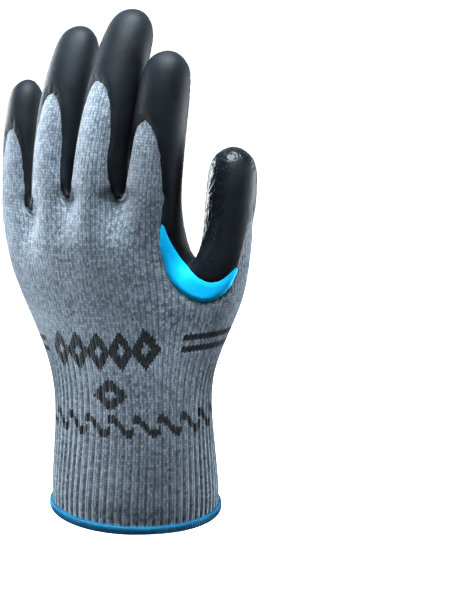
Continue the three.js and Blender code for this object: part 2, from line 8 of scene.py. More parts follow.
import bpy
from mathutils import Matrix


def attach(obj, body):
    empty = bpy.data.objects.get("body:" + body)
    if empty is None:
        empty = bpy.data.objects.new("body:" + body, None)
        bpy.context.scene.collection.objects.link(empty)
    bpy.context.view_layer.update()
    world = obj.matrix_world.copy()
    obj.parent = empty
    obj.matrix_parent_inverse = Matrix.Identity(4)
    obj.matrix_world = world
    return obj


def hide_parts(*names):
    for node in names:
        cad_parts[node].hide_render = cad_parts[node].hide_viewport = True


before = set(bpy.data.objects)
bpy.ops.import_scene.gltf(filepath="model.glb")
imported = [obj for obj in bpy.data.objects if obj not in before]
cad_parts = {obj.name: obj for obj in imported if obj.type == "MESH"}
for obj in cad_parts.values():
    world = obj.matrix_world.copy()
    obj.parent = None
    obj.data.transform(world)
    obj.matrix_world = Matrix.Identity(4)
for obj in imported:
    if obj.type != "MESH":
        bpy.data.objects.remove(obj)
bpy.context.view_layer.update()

import logging
import math
from collections.abc import Callable
from dataclasses import dataclass, field
from enum import Enum

import bpy
import numpy as np
from mathutils import Vector

log = logging.getLogger("glove")

MM = 0.001
GLOVE_LENGTH = 0.228
PALM_WIDTH = 0.088
PALM_DEPTH = 0.030
SHARES = np.array([PALM_WIDTH, PALM_DEPTH, GLOVE_LENGTH])
# Points below this height lie on the cuff's edge.
ON_RIM = 0.01 * MM
LAST_COLUMN = 24
# A cut moves to a corner that lies nearer than this share of an edge.
SNAP = 0.12
COVER, GUARD, FIELD, CRINKLE = range(4)


@dataclass(frozen=True)
class Walls:
    """Wall thicknesses, laid inwards from the outer face of the latex."""

    latex: float = 0.9 * MM
    gap: float = 0.3 * MM
    liner: float = 1.6 * MM

    @property
    def liner_outer(self) -> float:
        """Offset of the knit's outer face from the envelope."""
        return -(self.latex + self.gap)

    @property
    def liner_inner(self) -> float:
        """Offset of the knit's inner face from the envelope."""
        return self.liner_outer - self.liner


WALLS = Walls()


def unit(vectors: np.ndarray) -> np.ndarray:
    """Vectors scaled to length one along their last axis."""
    return vectors / np.maximum(np.linalg.norm(vectors, axis=-1, keepdims=True), 1e-12)


def smooth(value: np.ndarray | float, start: float = 0.0, end: float = 1.0) -> np.ndarray | float:
    """A soft step from 0 to 1 while value goes from start to end."""
    t = np.clip((value - start) / (end - start), 0, 1)
    return t * t * (3 - 2 * t)


def summed(like: np.ndarray, rows: np.ndarray, values: np.ndarray) -> np.ndarray:
    """Values added up at their rows, in an array of the shape of like."""
    total = np.zeros_like(like)
    np.add.at(total, rows.ravel(), values)
    return total


def along_three(values: tuple[float, float, float], t: float) -> float:
    """A value on the parabola through three values at t 0, one half and 1."""
    a, b, c = values
    return a * (1 - t) * (1 - 2 * t) + 4 * b * t * (1 - t) + c * t * (2 * t - 1)


def drift(x: float, z: float) -> float:
    """How far a course climbs at a point, because the knit leans up towards the thumb's side."""
    return 0.0525 * min(z, 84 * MM) * float(np.clip(x / (42 * MM), -1.2, 1.2))


def linear(red: float, green: float, blue: float) -> tuple[float, float, float, float]:
    """A colour given in display numbers from 0 to 255, as scene-linear RGBA."""
    done = []
    for value in (red, green, blue):
        v = value / 255
        done.append(v / 12.92 if v <= 0.04045 else ((v + 0.055) / 1.055) ** 2.4)
    return (*done, 1.0)


@dataclass(frozen=True)
class Tongue:
    """The bare knit on a finger's back.

    apex is how far it stops below the tip, half its half width and turn the side it faces, in
    degrees, and grow how much it widens in degrees over the glove's length.
    """

    apex: float
    half: float
    turn: float
    grow: float


@dataclass(frozen=True)
class Limb:
    """A finger or the thumb: its axis, half sizes and bare tongue, as shares of the main sizes.

    ring_draw is how far smoothing draws a ring in, as a share of its size.
    """

    name: str
    base: tuple[float, float, float]
    bend: tuple[float, float, float]
    tip: tuple[float, float, float]
    across: tuple[float, float, float]
    through: tuple[float, float, float]
    tongue: Tongue
    first_column: int
    rings: tuple[float, ...] = (0, 0.2, 0.5, 0.78)
    sides: int = 8
    ring_draw: float = 0.902

    def knots(self) -> list[np.ndarray]:
        """The three control points of the axis, in metres."""
        return [np.array(p) * SHARES for p in (self.base, self.bend, self.tip)]

    def point(self, t: float) -> np.ndarray:
        """The point of the axis at share t."""
        base, bend, tip = self.knots()
        return base * (1 - t) ** 2 + 2 * bend * t * (1 - t) + tip * t * t

    def axes(self, t: float) -> tuple[np.ndarray, np.ndarray, np.ndarray]:
        """Directions along the axis, towards the palm and towards the thumb's side at share t."""
        base, bend, tip = self.knots()
        up = unit((bend - base) * (1 - t) + (tip - bend) * t)
        palm = unit(np.cross(up, (1, 0, 0)))
        return up, palm, np.cross(palm, up)

    def ring(self, t: float, share: float = 1.0) -> np.ndarray:
        """Eight points round the axis at share t, at a share of its half sizes."""
        _, palm, side = self.axes(t)
        angle = np.arange(self.sides) * 2 * math.pi / self.sides
        across = along_three(self.across, t) * PALM_WIDTH * share / self.ring_draw
        through = along_three(self.through, t) * PALM_DEPTH * share / self.ring_draw
        out = -np.cos(angle)[:, None] * side * across - np.sin(angle)[:, None] * palm * through
        return self.point(t) + out

    def samples(self, count: int = 96) -> tuple[np.ndarray, ...]:
        """Axis points, their directions and the lengths still to go to the tip."""
        shares = np.linspace(0, 1, count + 1)
        points = np.array([self.point(t) for t in shares])
        axes = np.array([self.axes(t) for t in shares])
        steps = np.linalg.norm(np.diff(points, axis=0), axis=1)
        to_tip = np.append(np.cumsum(steps[::-1])[::-1], 0)
        return points, axes[:, 0], axes[:, 1], axes[:, 2], to_tip

    def cover(self, points: np.ndarray, arch: float = 26 * MM) -> np.ndarray:
        """How far inside the coat's edge points of the limb lie; below zero on the tongue.

        Args:
            points: positions on the limb, one row each.
            arch: height of the arch at the tongue's end.

        Returns:
            One signed length for each point.
        """
        axis, ups, palms, sides, to_tip = self.samples()
        near = ((points[:, None, :] - axis[None]) ** 2).sum(2).argmin(1)
        gap = points - axis[near]
        left = to_tip[near] - (gap * ups[near]).sum(1)
        around = np.arctan2((gap * sides[near]).sum(1), -(gap * palms[near]).sum(1))
        away = np.abs((around - math.radians(self.tongue.turn) + math.pi) % (2 * math.pi) - math.pi)
        apex = self.tongue.apex * GLOVE_LENGTH
        widened = self.tongue.grow * np.maximum(0, left - apex) / GLOVE_LENGTH
        half = np.radians(self.tongue.half + widened)
        edge = np.hypot(away / half, np.maximum(0, apex + arch - left) / arch)
        return (edge - 1) * half * self.across[1] * PALM_WIDTH


FINGERS = (
    Limb("little", (-0.7102, 0.4167, 0.5702), (-0.7614, 0.6333, 0.7105), (-0.7557, 1.1, 0.8531),
         (0.1091, 0.1045, 0.0943), (0.32, 0.3067, 0.2733), Tongue(0.1184, 52, -16, 34.2), 0),
    Limb("ring", (-0.4602, 0.0833, 0.6184), (-0.4659, 0.3, 0.7982), (-0.425, 1.1667, 0.9627),
         (0.125, 0.1284, 0.1205), (0.3667, 0.3533, 0.3133), Tongue(0.1667, 54, -17, 34.2), 2),
    Limb("middle", (-0.1864, -0.0667, 0.636), (-0.1705, 0.2333, 0.8333), (-0.1045, 1.1167, 0.9978),
         (0.1364, 0.142, 0.1261), (0.3933, 0.3867, 0.3467), Tongue(0.1754, 58, -20, 34.2), 4),
    Limb("index", (0.1045, 0.16, 0.6316), (0.1159, 0.2267, 0.7895), (0.1477, 0.6333, 0.9276),
         (0.1386, 0.1375, 0.1205), (0.3967, 0.39, 0.3433), Tongue(0.1491, 54, -17, 34.2), 6),
)
THUMB = Limb("thumb", (0.458, 0.5333, 0.5132), (0.4602, 0.6667, 0.6272), (0.4489, 0.9333, 0.7412),
             (0.1205, 0.1307, 0.117), (0.4, 0.39, 0.3367), Tongue(0.127, 37, 97, 91.2), 8,
             rings=(0, 0.14, 0.45, 0.76))
LIMBS = (*FINGERS, THUMB)


@dataclass(frozen=True)
class Row:
    """A row of the hand below the thumb: height, roundness, centre, half sizes and coat's reach."""

    z: float
    round: float
    x: float
    y: float
    across: float
    through: float
    coat: tuple[float, float]


@dataclass
class Hand:
    """The control cage of the hand's envelope, with the same values as the solids.

    A cage point holds x, y, z, its limb share, its cover and its height along the wales. A face
    holds four corners, its limb's number or -1, and the knitting column at each corner.
    """

    cells: tuple = (
        ((-0.6364, 0.3167, 0.4868), 0.1193, 0.4333), ((-0.4205, 0.1, 0.5132), 0.125, 0.4833),
        ((-0.1648, -0.0333, 0.5263), 0.1364, 0.5), ((0.0795, 0.1, 0.5263), 0.1364, 0.5),
    )
    crotch_back: tuple = (0.2955, -0.0333, 0.489)
    crotch_middle: tuple = (0.3011, 0.3333, 0.5)
    crotch_palm: tuple = (0.2841, 0.6667, 0.4956)
    crotch_spread: tuple = (-0.0341, 0, -0.0175)
    spread_column: int = 10
    crotch_sink: float = 4 * MM
    cap_drop: float = 5.5 * MM
    cap_share: float = 0.86
    cap_rise: float = 3.4 * MM
    heel: float = 0.1974
    column_width: float = 8 * MM
    cover_crotch: float = 1.25
    rows: tuple[Row, ...] = (
        Row(0.443, 0.25, -0.017, 0.1333, 0.5568, 0.6667, (5.6, 4.5)),
        Row(0.3684, 0.55, -0.0227, 0.0667, 0.4545, 0.6667, (5.5, 4.3)),
        Row(0.2895, 0.88, -0.0205, 0.0333, 0.4295, 0.7167, (5, 3.6)),
        Row(0.2061, 1, -0.0034, 0, 0.4409, 0.85, (2.6, 1.6)),
        Row(0.1053, 1, 0, 0, 0.4614, 1.0333, (2, 1)),
        Row(0, 1, 0, 0, 0.475, 1.1833, (2, 1)),
    )
    cover_fingers: tuple = (0.5, -0.25, -1, 0.25, -1.125, 0.25, -1.125, 0.25, -1.125, -0.25,
                            0.75, 1.5, 1.875, 1.5, 1.875, 1.5, 1.875, 1.5, 1.875, 1.5)
    cover_upper: tuple = (0.125, -0.75, -1.25, -1, -1.25, -1, -1.25, -1, -1.25, -0.75,
                          0.625, 1.5, 2.5, 2.5, 2.5, 2.5, 2.5, 2.5, 2.25, 1.125)
    cover_thumb: tuple = (-0.125, -1.125, -1.25, -1.25, -1.25, -1.25, -1.25, -1.25, -1.25, -0.125,
                          -0.125, -0.5, -0.875, -0.25, 0.75, 1.875, 2.5, 2.5, 2.5, 2.5, 2.5, 2.5,
                          2, 1)
    points: list = field(default_factory=list)
    faces: list = field(default_factory=list)
    owners: list = field(default_factory=list)
    columns: list = field(default_factory=list)

    def add(self, point: np.ndarray, share: float, cover: float,
            course: float | None = None) -> int:
        """Adds a cage point.

        Args:
            point: its position.
            share: how much of it belongs to a limb.
            cover: how far inside the coat's edge it lies.
            course: its height along the wales, or None for its own height.

        Returns:
            The point's number.
        """
        own = point[2] - drift(point[0], point[2])
        self.points.append([*point, share, cover, own if course is None else course])
        return len(self.points) - 1

    def band(self, lower: list[int], upper: list[int], columns: list[float], owner: int) -> None:
        """Adds the faces between two closed rows.

        Args:
            lower: point numbers of the lower row.
            upper: point numbers of the upper row.
            columns: knitting columns at the row's points and, last, where it closes.
            owner: number of the limb, or -1 on the hand.
        """
        for i in range(len(lower)):
            j = (i + 1) % len(lower)
            self.faces.append([lower[i], lower[j], upper[j], upper[i]])
            self.columns.append([columns[i], columns[i + 1], columns[i + 1], columns[i]])
            self.owners.append(owner)

    def add_limb(self, limb: Limb, base_ring: list[int], owner: int) -> None:
        """Adds the rings and the cap of a limb above its base ring."""
        to_tip = limb.samples()[4]
        length = to_tip[0]
        base = limb.point(0)
        foot = base[2] - drift(base[0], base[2])
        shares = [*limb.rings[1:], 1 - self.cap_drop / length]
        sizes = [1.0] * (len(shares) - 1) + [self.cap_share]
        columns = [limb.first_column + k for k in range(limb.sides + 1)]
        lower = base_ring
        for t, size in zip(shares, sizes):
            ring = limb.ring(t, size)
            covers = limb.cover(ring)
            done = length - np.interp(t, np.linspace(0, 1, len(to_tip)), to_tip)
            upper = [self.add(p, 1, c, foot + done) for p, c in zip(ring, covers)]
            self.band(lower, upper, columns, owner)
            lower = upper
        tip = limb.point(1) + limb.axes(1)[0] * self.cap_rise
        middle = self.add(tip, 1, self.cover_crotch * self.column_width, foot + length)
        for k in range(0, limb.sides, 2):
            self.faces.append([lower[k], lower[k + 1], lower[(k + 2) % limb.sides], middle])
            self.columns.append([columns[k], columns[k + 1], columns[k + 2], columns[k + 1]])
            self.owners.append(owner)

    def finger_bases(self) -> tuple[list[list[int]], list[int]]:
        """Adds the row round the four fingers' bases.

        Returns:
            The base ring of each finger, and the closed row of twenty points.
        """
        rings = [limb.ring(0) for limb in FINGERS]
        ids: list[list[int]] = [[-1] * 8 for _ in FINGERS]
        covered = self.cover_crotch * self.column_width
        for i in range(3):
            for k, other, share in ((3, 1, 0.8), (4, 0, 1), (5, 7, 0.8)):
                middle = (rings[i][k] + rings[i + 1][other]) / 2
                number = self.add(middle - (0, 0, self.crotch_sink * share), 0, covered)
                ids[i][k] = ids[i + 1][other] = number
        for i, ring in enumerate(rings):
            for k in range(8):
                if ids[i][k] < 0:
                    ids[i][k] = self.add(ring[k], 0, covered)
        p, r, m, x = ids
        row = [p[0], p[1], p[2], p[3], r[2], r[3], m[2], m[3], x[2], x[3],
               x[4], x[5], x[6], m[5], m[6], r[5], r[6], p[5], p[6], p[7]]
        for i, number in enumerate(row):
            self.points[number][4] = self.cover_fingers[i] * self.column_width
        return ids, row

    def thumb_row(self) -> list[np.ndarray]:
        """The 24 points of the row at the thumb's crotch, without the crotch's middle."""
        def beside(cell: tuple, across: float, through: float) -> np.ndarray:
            """A point beside a cell's middle, by shares of the cell's half sizes."""
            return (np.array(cell[0]) + (cell[1] * across, cell[2] * through, 0)) * SHARES

        p, r, m, x = self.cells
        back = [beside(cell, 0, -1) for cell in self.cells]
        palm = [beside(cell, 0, 1) for cell in self.cells]
        ring = THUMB.ring(0)
        return [
            beside(p, -1, 0), beside(p, -0.8, -0.74), back[0], (back[0] + back[1]) / 2,
            back[1], (back[1] + back[2]) / 2, back[2], (back[2] + back[3]) / 2, back[3],
            np.array(self.crotch_back) * SHARES, *ring[2:7], np.array(self.crotch_palm) * SHARES,
            palm[3], (palm[2] + palm[3]) / 2, palm[2], (palm[1] + palm[2]) / 2,
            palm[1], (palm[0] + palm[1]) / 2, palm[0], beside(p, -0.8, 0.74),
        ]

    def lower_cover(self, column: int, row: Row) -> float:
        """How far inside the coat's edge a point of a lower row lies."""
        from_palm = column + 6 if column < 6 else column - 18
        sides = min(row.coat[0] - from_palm, from_palm + row.coat[1], 2.5) * self.column_width
        return max(-1.5 * self.column_width, min(sides, (row.z - self.heel) * GLOVE_LENGTH))

    def build(self) -> "Quads":
        """Lays out the whole cage."""
        ids, row = self.finger_bases()
        outline = self.thumb_row()
        covered = self.cover_crotch * self.column_width
        crotch = self.add(np.array(self.crotch_middle) * SHARES, 0, covered)
        widths = [c * self.column_width for c in self.cover_thumb]
        thumb_ids = [self.add(p, 0, c) for p, c in zip(outline, widths)]
        short = [*thumb_ids[:10], crotch, *thumb_ids[15:]]
        upper = []
        for i, (high, low) in enumerate(zip(row, short)):
            point = (np.array(self.points[high][:3]) + self.points[low][:3]) / 2
            if i == self.spread_column:
                point = point + np.array(self.crotch_spread) * SHARES
            upper.append(self.add(point, 0, self.cover_upper[i] * self.column_width))
        columns = [float(i if i <= 10 else i + 4) for i in range(21)]
        self.band(upper, row, columns, -1)
        self.band(short, upper, columns, -1)
        for number, limb in enumerate(FINGERS):
            self.add_limb(limb, ids[number], number)
        self.add_limb(THUMB, [crotch, *thumb_ids[9:16]], len(FINGERS))
        above = thumb_ids
        for line in self.rows:
            below = []
            for column, point in enumerate(outline):
                angle = math.pi - column * 2 * math.pi / len(outline)
                x = (line.x + line.across * math.cos(angle)) * PALM_WIDTH
                y = (line.y - line.through * math.sin(angle)) * PALM_DEPTH
                flat = np.array(point[:2]) * (1 - line.round) + np.array((x, y)) * line.round
                cover = self.lower_cover(column, line)
                below.append(self.add(np.array((*flat, line.z * GLOVE_LENGTH)), 0, cover))
            self.band(below, above, [float(i) for i in range(LAST_COLUMN + 1)], -1)
            above = below
        parts = (self.points, self.faces, self.owners, self.columns)
        return Quads(*(np.array(part) for part in parts))


@dataclass
class Quads:
    """A quad mesh whose point channels are smoothed by Catmull-Clark steps."""

    points: np.ndarray
    faces: np.ndarray
    owners: np.ndarray
    columns: np.ndarray

    def edges(self) -> tuple[np.ndarray, np.ndarray, np.ndarray]:
        """The edges' ends, the edge after each face corner, and how many faces each edge has."""
        pairs = np.stack([self.faces, np.roll(self.faces, -1, axis=1)], axis=2).reshape(-1, 2)
        ends, number = np.unique(np.sort(pairs, axis=1), axis=0, return_inverse=True)
        number = number.reshape(self.faces.shape)
        return ends, number, np.bincount(number.ravel(), minlength=len(ends))

    def rim(self, ends: np.ndarray, used: np.ndarray) -> tuple[np.ndarray, np.ndarray]:
        """Which points lie on the open rim, and the sum of each one's neighbours along it."""
        edge = ends[used == 1]
        on_rim = np.zeros(len(self.points), bool)
        on_rim[edge.ravel()] = True
        return on_rim, summed(self.points, edge, self.points[edge[:, ::-1].ravel()])

    def smoothed(self) -> "Quads":
        """The mesh after one step, with four faces for each face, in the corners' order."""
        p, f, c = self.points, self.faces, self.columns
        ends, number, used = self.edges()
        middles = p[f].mean(1)
        wings = np.repeat(middles, 4, axis=0)
        halves = p[ends].mean(1)
        between_wings = (p[ends].sum(1) + summed(halves, number, wings)) / 4
        on_edges = np.where((used == 2)[:, None], between_wings, halves)
        n = np.bincount(f.ravel(), minlength=len(p))[:, None]
        edges_near = np.bincount(ends.ravel(), minlength=len(p))[:, None]
        spokes = summed(p, ends, np.repeat(halves, 2, axis=0)) / edges_near
        moved = (summed(p, f, wings) / n + 2 * spokes + (n - 3) * p) / n
        on_rim, beside = self.rim(ends, used)
        moved[on_rim] = 0.75 * p[on_rim] + 0.125 * beside[on_rim]
        after = len(p) + number
        before = np.roll(after, 1, axis=1)
        centre = np.repeat(len(p) + len(ends) + np.arange(len(f)), 4)
        faces = np.stack([f.ravel(), after.ravel(), centre, before.ravel()], axis=1)
        ahead, behind = ((c + np.roll(c, way, axis=1)) / 2 for way in (-1, 1))
        middle = np.repeat(c.mean(1), 4).reshape(-1, 4)
        columns = np.stack([c, ahead, middle, behind], axis=2).reshape(-1, 4)
        points = np.concatenate([moved, on_edges, middles])
        return Quads(points, faces, np.repeat(self.owners, 4), columns)

    def limit(self) -> np.ndarray:
        """All channels where endless smoothing would bring them."""
        p, f = self.points, self.faces
        ends, _, used = self.edges()
        n = np.bincount(f.ravel(), minlength=len(p))[:, None]
        far = summed(p, f, p[np.roll(f, 2, axis=1).ravel()])
        near = summed(p, ends, p[ends[:, ::-1].ravel()])
        result = (p * n * n + 4 * near + far) / (n * (n + 5))
        on_rim, beside = self.rim(ends, used)
        result[on_rim] = p[on_rim] * 2 / 3 + beside[on_rim] / 6
        return result


def inside_outline(outline: np.ndarray, points: np.ndarray) -> np.ndarray:
    """Distance of flat points to a closed outline, above zero inside it."""
    a, b = outline, np.roll(outline, -1, axis=0)
    x, y = points[:, None, 0], points[:, None, 1]
    step = b - a
    along = (x - a[:, 0]) * step[:, 0] + (y - a[:, 1]) * step[:, 1]
    t = np.clip(along / (step ** 2).sum(1), 0, 1)
    nearest = np.hypot(x - a[:, 0] - t * step[:, 0], y - a[:, 1] - t * step[:, 1]).min(1)
    rise = np.where(step[:, 1] == 0, 1e-12, step[:, 1])
    crossed = ((a[:, 1] > y) != (b[:, 1] > y)) & (x < step[:, 0] * (y - a[:, 1]) / rise + a[:, 0])
    return np.where(crossed.sum(1) % 2 == 1, nearest, -nearest)


def rounded(outline: tuple, rounds: int = 2) -> np.ndarray:
    """A closed outline given in shares, with its corners cut again and again, in metres."""
    shape = np.array(outline) * (PALM_WIDTH, GLOVE_LENGTH)
    for _ in range(rounds):
        ahead = np.roll(shape, -1, axis=0)
        cut = [shape * (1 - share) + ahead * share for share in (0.25, 0.75)]
        shape = np.stack(cut, axis=1).reshape(-1, 2)
    return shape


def speckle(points: np.ndarray, cell: float, seed: int) -> np.ndarray:
    """Smooth noise from -1 to 1 at points, with lumps of the given size and a fixed seed."""
    table = np.random.default_rng(seed).random(4096) * 2 - 1
    scaled = points / cell
    low = np.floor(scaled).astype(np.int64)
    t = smooth(scaled - low)
    total = np.zeros(len(points))
    for corner in range(8):
        bits = np.array([corner & 1, corner >> 1 & 1, corner >> 2 & 1])
        place = low + bits
        key = (place[:, 0] * 73856093 ^ place[:, 1] * 19349663 ^ place[:, 2] * 83492791) % 4096
        total += table[key] * np.prod(np.where(bits, t, 1 - t), axis=1)
    return total


@dataclass
class Envelope:
    """The outer face of the whole glove, with the fields that divide it among its pieces.

    web is the outline of all the latex between index finger and thumb, and crescent that of its
    blue part, seen from web_azimuth degrees to the thumb's side of the back. Both reach only
    faces that are turned to that side by more than grazing. valley is how deep the back sinks
    below a crotch, and wedge how much latex goes there. palm_reach and thumb_reach say how far
    round the sides the crinkle goes, as shares of a direction.
    """

    web_azimuth: float = 25
    web: tuple = (
        (0.1761, 0.6579), (0.1659, 0.6246), (0.1523, 0.5991), (0.142, 0.5658), (0.1489, 0.5443),
        (0.1614, 0.5224), (0.1898, 0.4882), (0.25, 0.4605), (0.3193, 0.4465), (0.3659, 0.4439),
        (0.4205, 0.4487), (0.4727, 0.4614), (0.5205, 0.4803), (0.55, 0.5057), (0.5716, 0.532),
        (0.5977, 0.5649), (0.6182, 0.5925), (0.6364, 0.6272), (0.5682, 0.6667), (0.3409, 0.6798),
    )
    crescent: tuple = web[2:13] + (
        (0.55, 0.5079), (0.533, 0.514), (0.4955, 0.5009), (0.45, 0.4882), (0.4034, 0.4838),
        (0.3648, 0.4868), (0.3193, 0.4982), (0.2682, 0.5206), (0.225, 0.5469), (0.1898, 0.5728),
        (0.1705, 0.596),
    )
    grazing: float = 0.05
    outside: float = -20 * MM
    ragged: float = 0.32 * MM
    stitch: float = 1.5 * MM
    valley: float = 3.6 * MM
    valley_half: float = 6.0 * MM
    valley_length: float = 21 * MM
    valley_above: float = 8 * MM
    behind: float = 6 * MM
    wedge: float = 2.4 * MM
    wedge_from: float = 3.6 * MM
    wedge_to: float = 21.6 * MM
    palm_reach: float = 0.05
    thumb_reach: float = 1.25
    thumb_turn: float = 0.9
    crinkle_fade: float = 0.4
    medium: Quads = field(init=False)
    fine: Quads = field(init=False)
    points: np.ndarray = field(init=False)
    normals: np.ndarray = field(init=False)
    course: np.ndarray = field(init=False)
    column: np.ndarray = field(init=False)
    cover: np.ndarray = field(init=False)
    guard: np.ndarray = field(init=False)
    crinkle: np.ndarray = field(init=False)

    def normals_of(self, points: np.ndarray) -> np.ndarray:
        """Outward directions at the points of the finest level."""
        p = points[self.fine.faces]
        crossing = np.cross(p[:, 2] - p[:, 0], p[:, 3] - p[:, 1])
        return unit(summed(points, self.fine.faces, np.repeat(crossing, 4, axis=0)))

    def rim_order(self) -> np.ndarray:
        """The points of the cuff's edge, in order round it."""
        ids = np.nonzero(self.points[:, 2] < ON_RIM)[0]
        return ids[np.argsort(np.arctan2(self.points[ids, 1], self.points[ids, 0]))]

    def sink_valleys(self) -> None:
        """Draws the back of the hand in below each crotch between two fingers.

        It also narrows the latex that runs up and down from the crotch on the back.
        """
        back = smooth(-self.normals[:, 1], 0.2, 0.7)
        depth = np.zeros(len(self.points))
        for left, right in zip(FINGERS, FINGERS[1:]):
            x, y, z = (left.ring(0)[3] + right.ring(0)[1]) / 2
            over = self.points[:, 2] - z
            near = np.exp(-((self.points[:, 0] - x) / self.valley_half) ** 2)
            below = smooth(over, -self.valley_length, 0) * (1 - smooth(over, 0, self.valley_above))
            depth += below * near
            outer = smooth(y - self.points[:, 1], -self.behind, 0)
            low = 1 - smooth(over, self.wedge_from, self.wedge_to)
            self.cover -= self.wedge * outer * low * near
        self.points = self.points - self.normals * (depth * back * self.valley)[:, None]
        self.normals = self.normals_of(self.points)

    def seen_fields(self) -> None:
        """Adds the web's latex and the crescent, as outlines seen from one side."""
        turn = math.radians(self.web_azimuth)
        sight = np.array((math.sin(turn), -math.cos(turn), 0))
        right = np.array((math.cos(turn), math.sin(turn), 0))
        faces_camera = self.normals @ sight > self.grazing
        points = self.points[faces_camera]
        seen = np.stack([points @ right, points[:, 2]], axis=1)
        web, crescent = (inside_outline(rounded(line), seen) for line in (self.web, self.crescent))
        self.guard = np.full(len(self.points), self.outside)
        self.guard[faces_camera] = crescent
        self.cover[faces_camera] = np.maximum(self.cover[faces_camera], web)

    def build(self) -> None:
        """Smooths the cage to its finest level and works out normals and fields."""
        self.medium = Hand().build().smoothed().smoothed()
        self.fine = self.medium.smoothed().smoothed()
        f = self.fine.faces
        channels = self.fine.limit()
        self.points = channels[:, :3]
        self.course = channels[:, 5]
        self.normals = self.normals_of(self.points)
        self.cover = channels[:, 4].copy()
        owner = np.full(len(self.cover), -1)
        for number, limb in enumerate(LIMBS):
            mine = np.unique(f[self.fine.owners == number])
            owner[mine] = number
            share = smooth(channels[mine, 3])
            own = limb.cover(self.points[mine])
            self.cover[mine] = self.cover[mine] * (1 - share) + own * share
        self.seen_fields()
        self.cover = self.cover + self.ragged * speckle(self.points, self.stitch, 5)
        self.sink_valleys()
        thumb = self.normals[:, 1] - self.thumb_turn * self.normals[:, 0] + self.thumb_reach
        palm = self.normals[:, 1] + self.palm_reach
        facing = np.where(owner == len(LIMBS) - 1, thumb, palm)
        self.crinkle = smooth(facing, 0, self.crinkle_fade)
        self.column = np.zeros(len(self.cover))
        self.column[f.ravel()] = self.fine.columns.ravel()


@dataclass
class Skin:
    """Triangles over the envelope's points, with the fields that follow a cut."""

    points: np.ndarray
    normals: np.ndarray
    fields: np.ndarray
    triangles: np.ndarray

    def cut(self, values: np.ndarray) -> tuple["Skin", np.ndarray]:
        """Splits the triangles along the line where values are zero.

        Args:
            values: one number for each point.

        Returns:
            The split skin, and the values at its points.
        """
        v = values.copy()
        t3 = self.triangles
        a, b = t3.ravel(), np.roll(t3, -1, axis=1).ravel()
        for _ in range(2):
            crossing = v[a] * v[b] < 0
            share = np.where(crossing, v[a] / np.where(crossing, v[a] - v[b], 1), 0.5)
            v[a[crossing & (share < SNAP)]] = 0
            v[b[crossing & (share > 1 - SNAP)]] = 0
        corner = v[t3]
        mixed = (corner.max(1) > 0) & (corner.min(1) < 0)
        count = len(v)
        cuts: dict[tuple[int, int], int] = {}
        ends, shares, added = [], [], []

        def crossing_point(i: int, j: int) -> int:
            """The number of the new point on the edge between two points."""
            key = (i, j) if i < j else (j, i)
            if key not in cuts:
                cuts[key] = count + len(ends)
                ends.append(key)
                shares.append(v[key[0]] / (v[key[0]] - v[key[1]]))
            return cuts[key]

        for triangle in t3[mixed].tolist():
            for sign in (1, -1):
                shape = []
                for k, i in enumerate(triangle):
                    j = triangle[(k + 1) % 3]
                    if v[i] * sign >= 0:
                        shape.append(i)
                    if v[i] * v[j] < 0:
                        shape.append(crossing_point(i, j))
                added += [(shape[0], shape[k - 1], shape[k]) for k in range(2, len(shape))]
        if not ends:
            return Skin(self.points, self.normals, self.fields, t3), v
        pair, s = np.array(ends), np.array(shares)[:, None]

        def grown(old: np.ndarray) -> np.ndarray:
            """Old values with those of the new points after them."""
            return np.concatenate([old, old[pair[:, 0]] * (1 - s) + old[pair[:, 1]] * s])

        triangles = np.concatenate([t3[~mixed], np.array(added)])
        skin = Skin(grown(self.points), unit(grown(self.normals)), grown(self.fields), triangles)
        return skin, np.append(v, np.zeros(len(ends)))

    def kept(self, values: np.ndarray) -> "Skin":
        """The triangles that lie where values are above zero, after a cut."""
        corner = values[self.triangles]
        return Skin(self.points, self.normals, self.fields,
                    self.triangles[(corner.min(1) >= 0) & (corner.max(1) > 0)])


def linked(name: str, data: bpy.types.ID) -> bpy.types.Object:
    """A new object with the given data, linked to the scene."""
    made = bpy.data.objects.new(name, data)
    bpy.context.scene.collection.objects.link(made)
    return made


def store(mesh: bpy.types.Mesh, name: str, values: np.ndarray) -> None:
    """Stores one or three numbers for each point of a mesh as an attribute."""
    kind, slot = ("FLOAT_VECTOR", "vector") if values.ndim == 2 else ("FLOAT", "value")
    layer = mesh.attributes.new(name, kind, "POINT")
    layer.data.foreach_set(slot, np.ascontiguousarray(values, dtype=np.float32).ravel())


def swap_for_result(piece: bpy.types.Object, modifier: bpy.types.Modifier) -> None:
    """Gives a piece the mesh that its modifier makes, and removes the modifier."""
    bpy.context.view_layer.update()
    graph = bpy.context.evaluated_depsgraph_get()
    mesh = bpy.data.meshes.new_from_object(piece.evaluated_get(graph), depsgraph=graph)
    piece.modifiers.remove(modifier)
    old, piece.data = piece.data, mesh
    bpy.data.meshes.remove(old)
    mesh.name = piece.name


def mesh_piece(name: str, points: np.ndarray, faces: list, attributes: dict[str, np.ndarray],
               uv: np.ndarray | None = None) -> bpy.types.Object:
    """Makes a smooth-shaded mesh object at the origin, without the points that no face uses.

    Args:
        name: name of the piece.
        points: positions in metres.
        faces: corner numbers of each face.
        attributes: point attributes by name, of one or three numbers for each point.
        uv: two numbers for each corner, in the faces' order.

    Returns:
        The object, linked to the scene.
    """
    flat = np.concatenate([np.asarray(face) for face in faces])
    used, inverse = np.unique(flat, return_inverse=True)
    sizes = np.array([len(face) for face in faces])
    shapes = np.split(inverse.ravel(), np.cumsum(sizes)[:-1])
    mesh = bpy.data.meshes.new(name)
    mesh.from_pydata(points[used].tolist(), [], [shape.tolist() for shape in shapes])
    for key, values in attributes.items():
        store(mesh, key, values[used])
    if uv is not None:
        layer = mesh.uv_layers.new(name="knit")
        layer.data.foreach_set("uv", np.ascontiguousarray(uv, dtype=np.float32).ravel())
    mesh.shade_smooth()
    mesh.update()
    return linked(name, mesh)


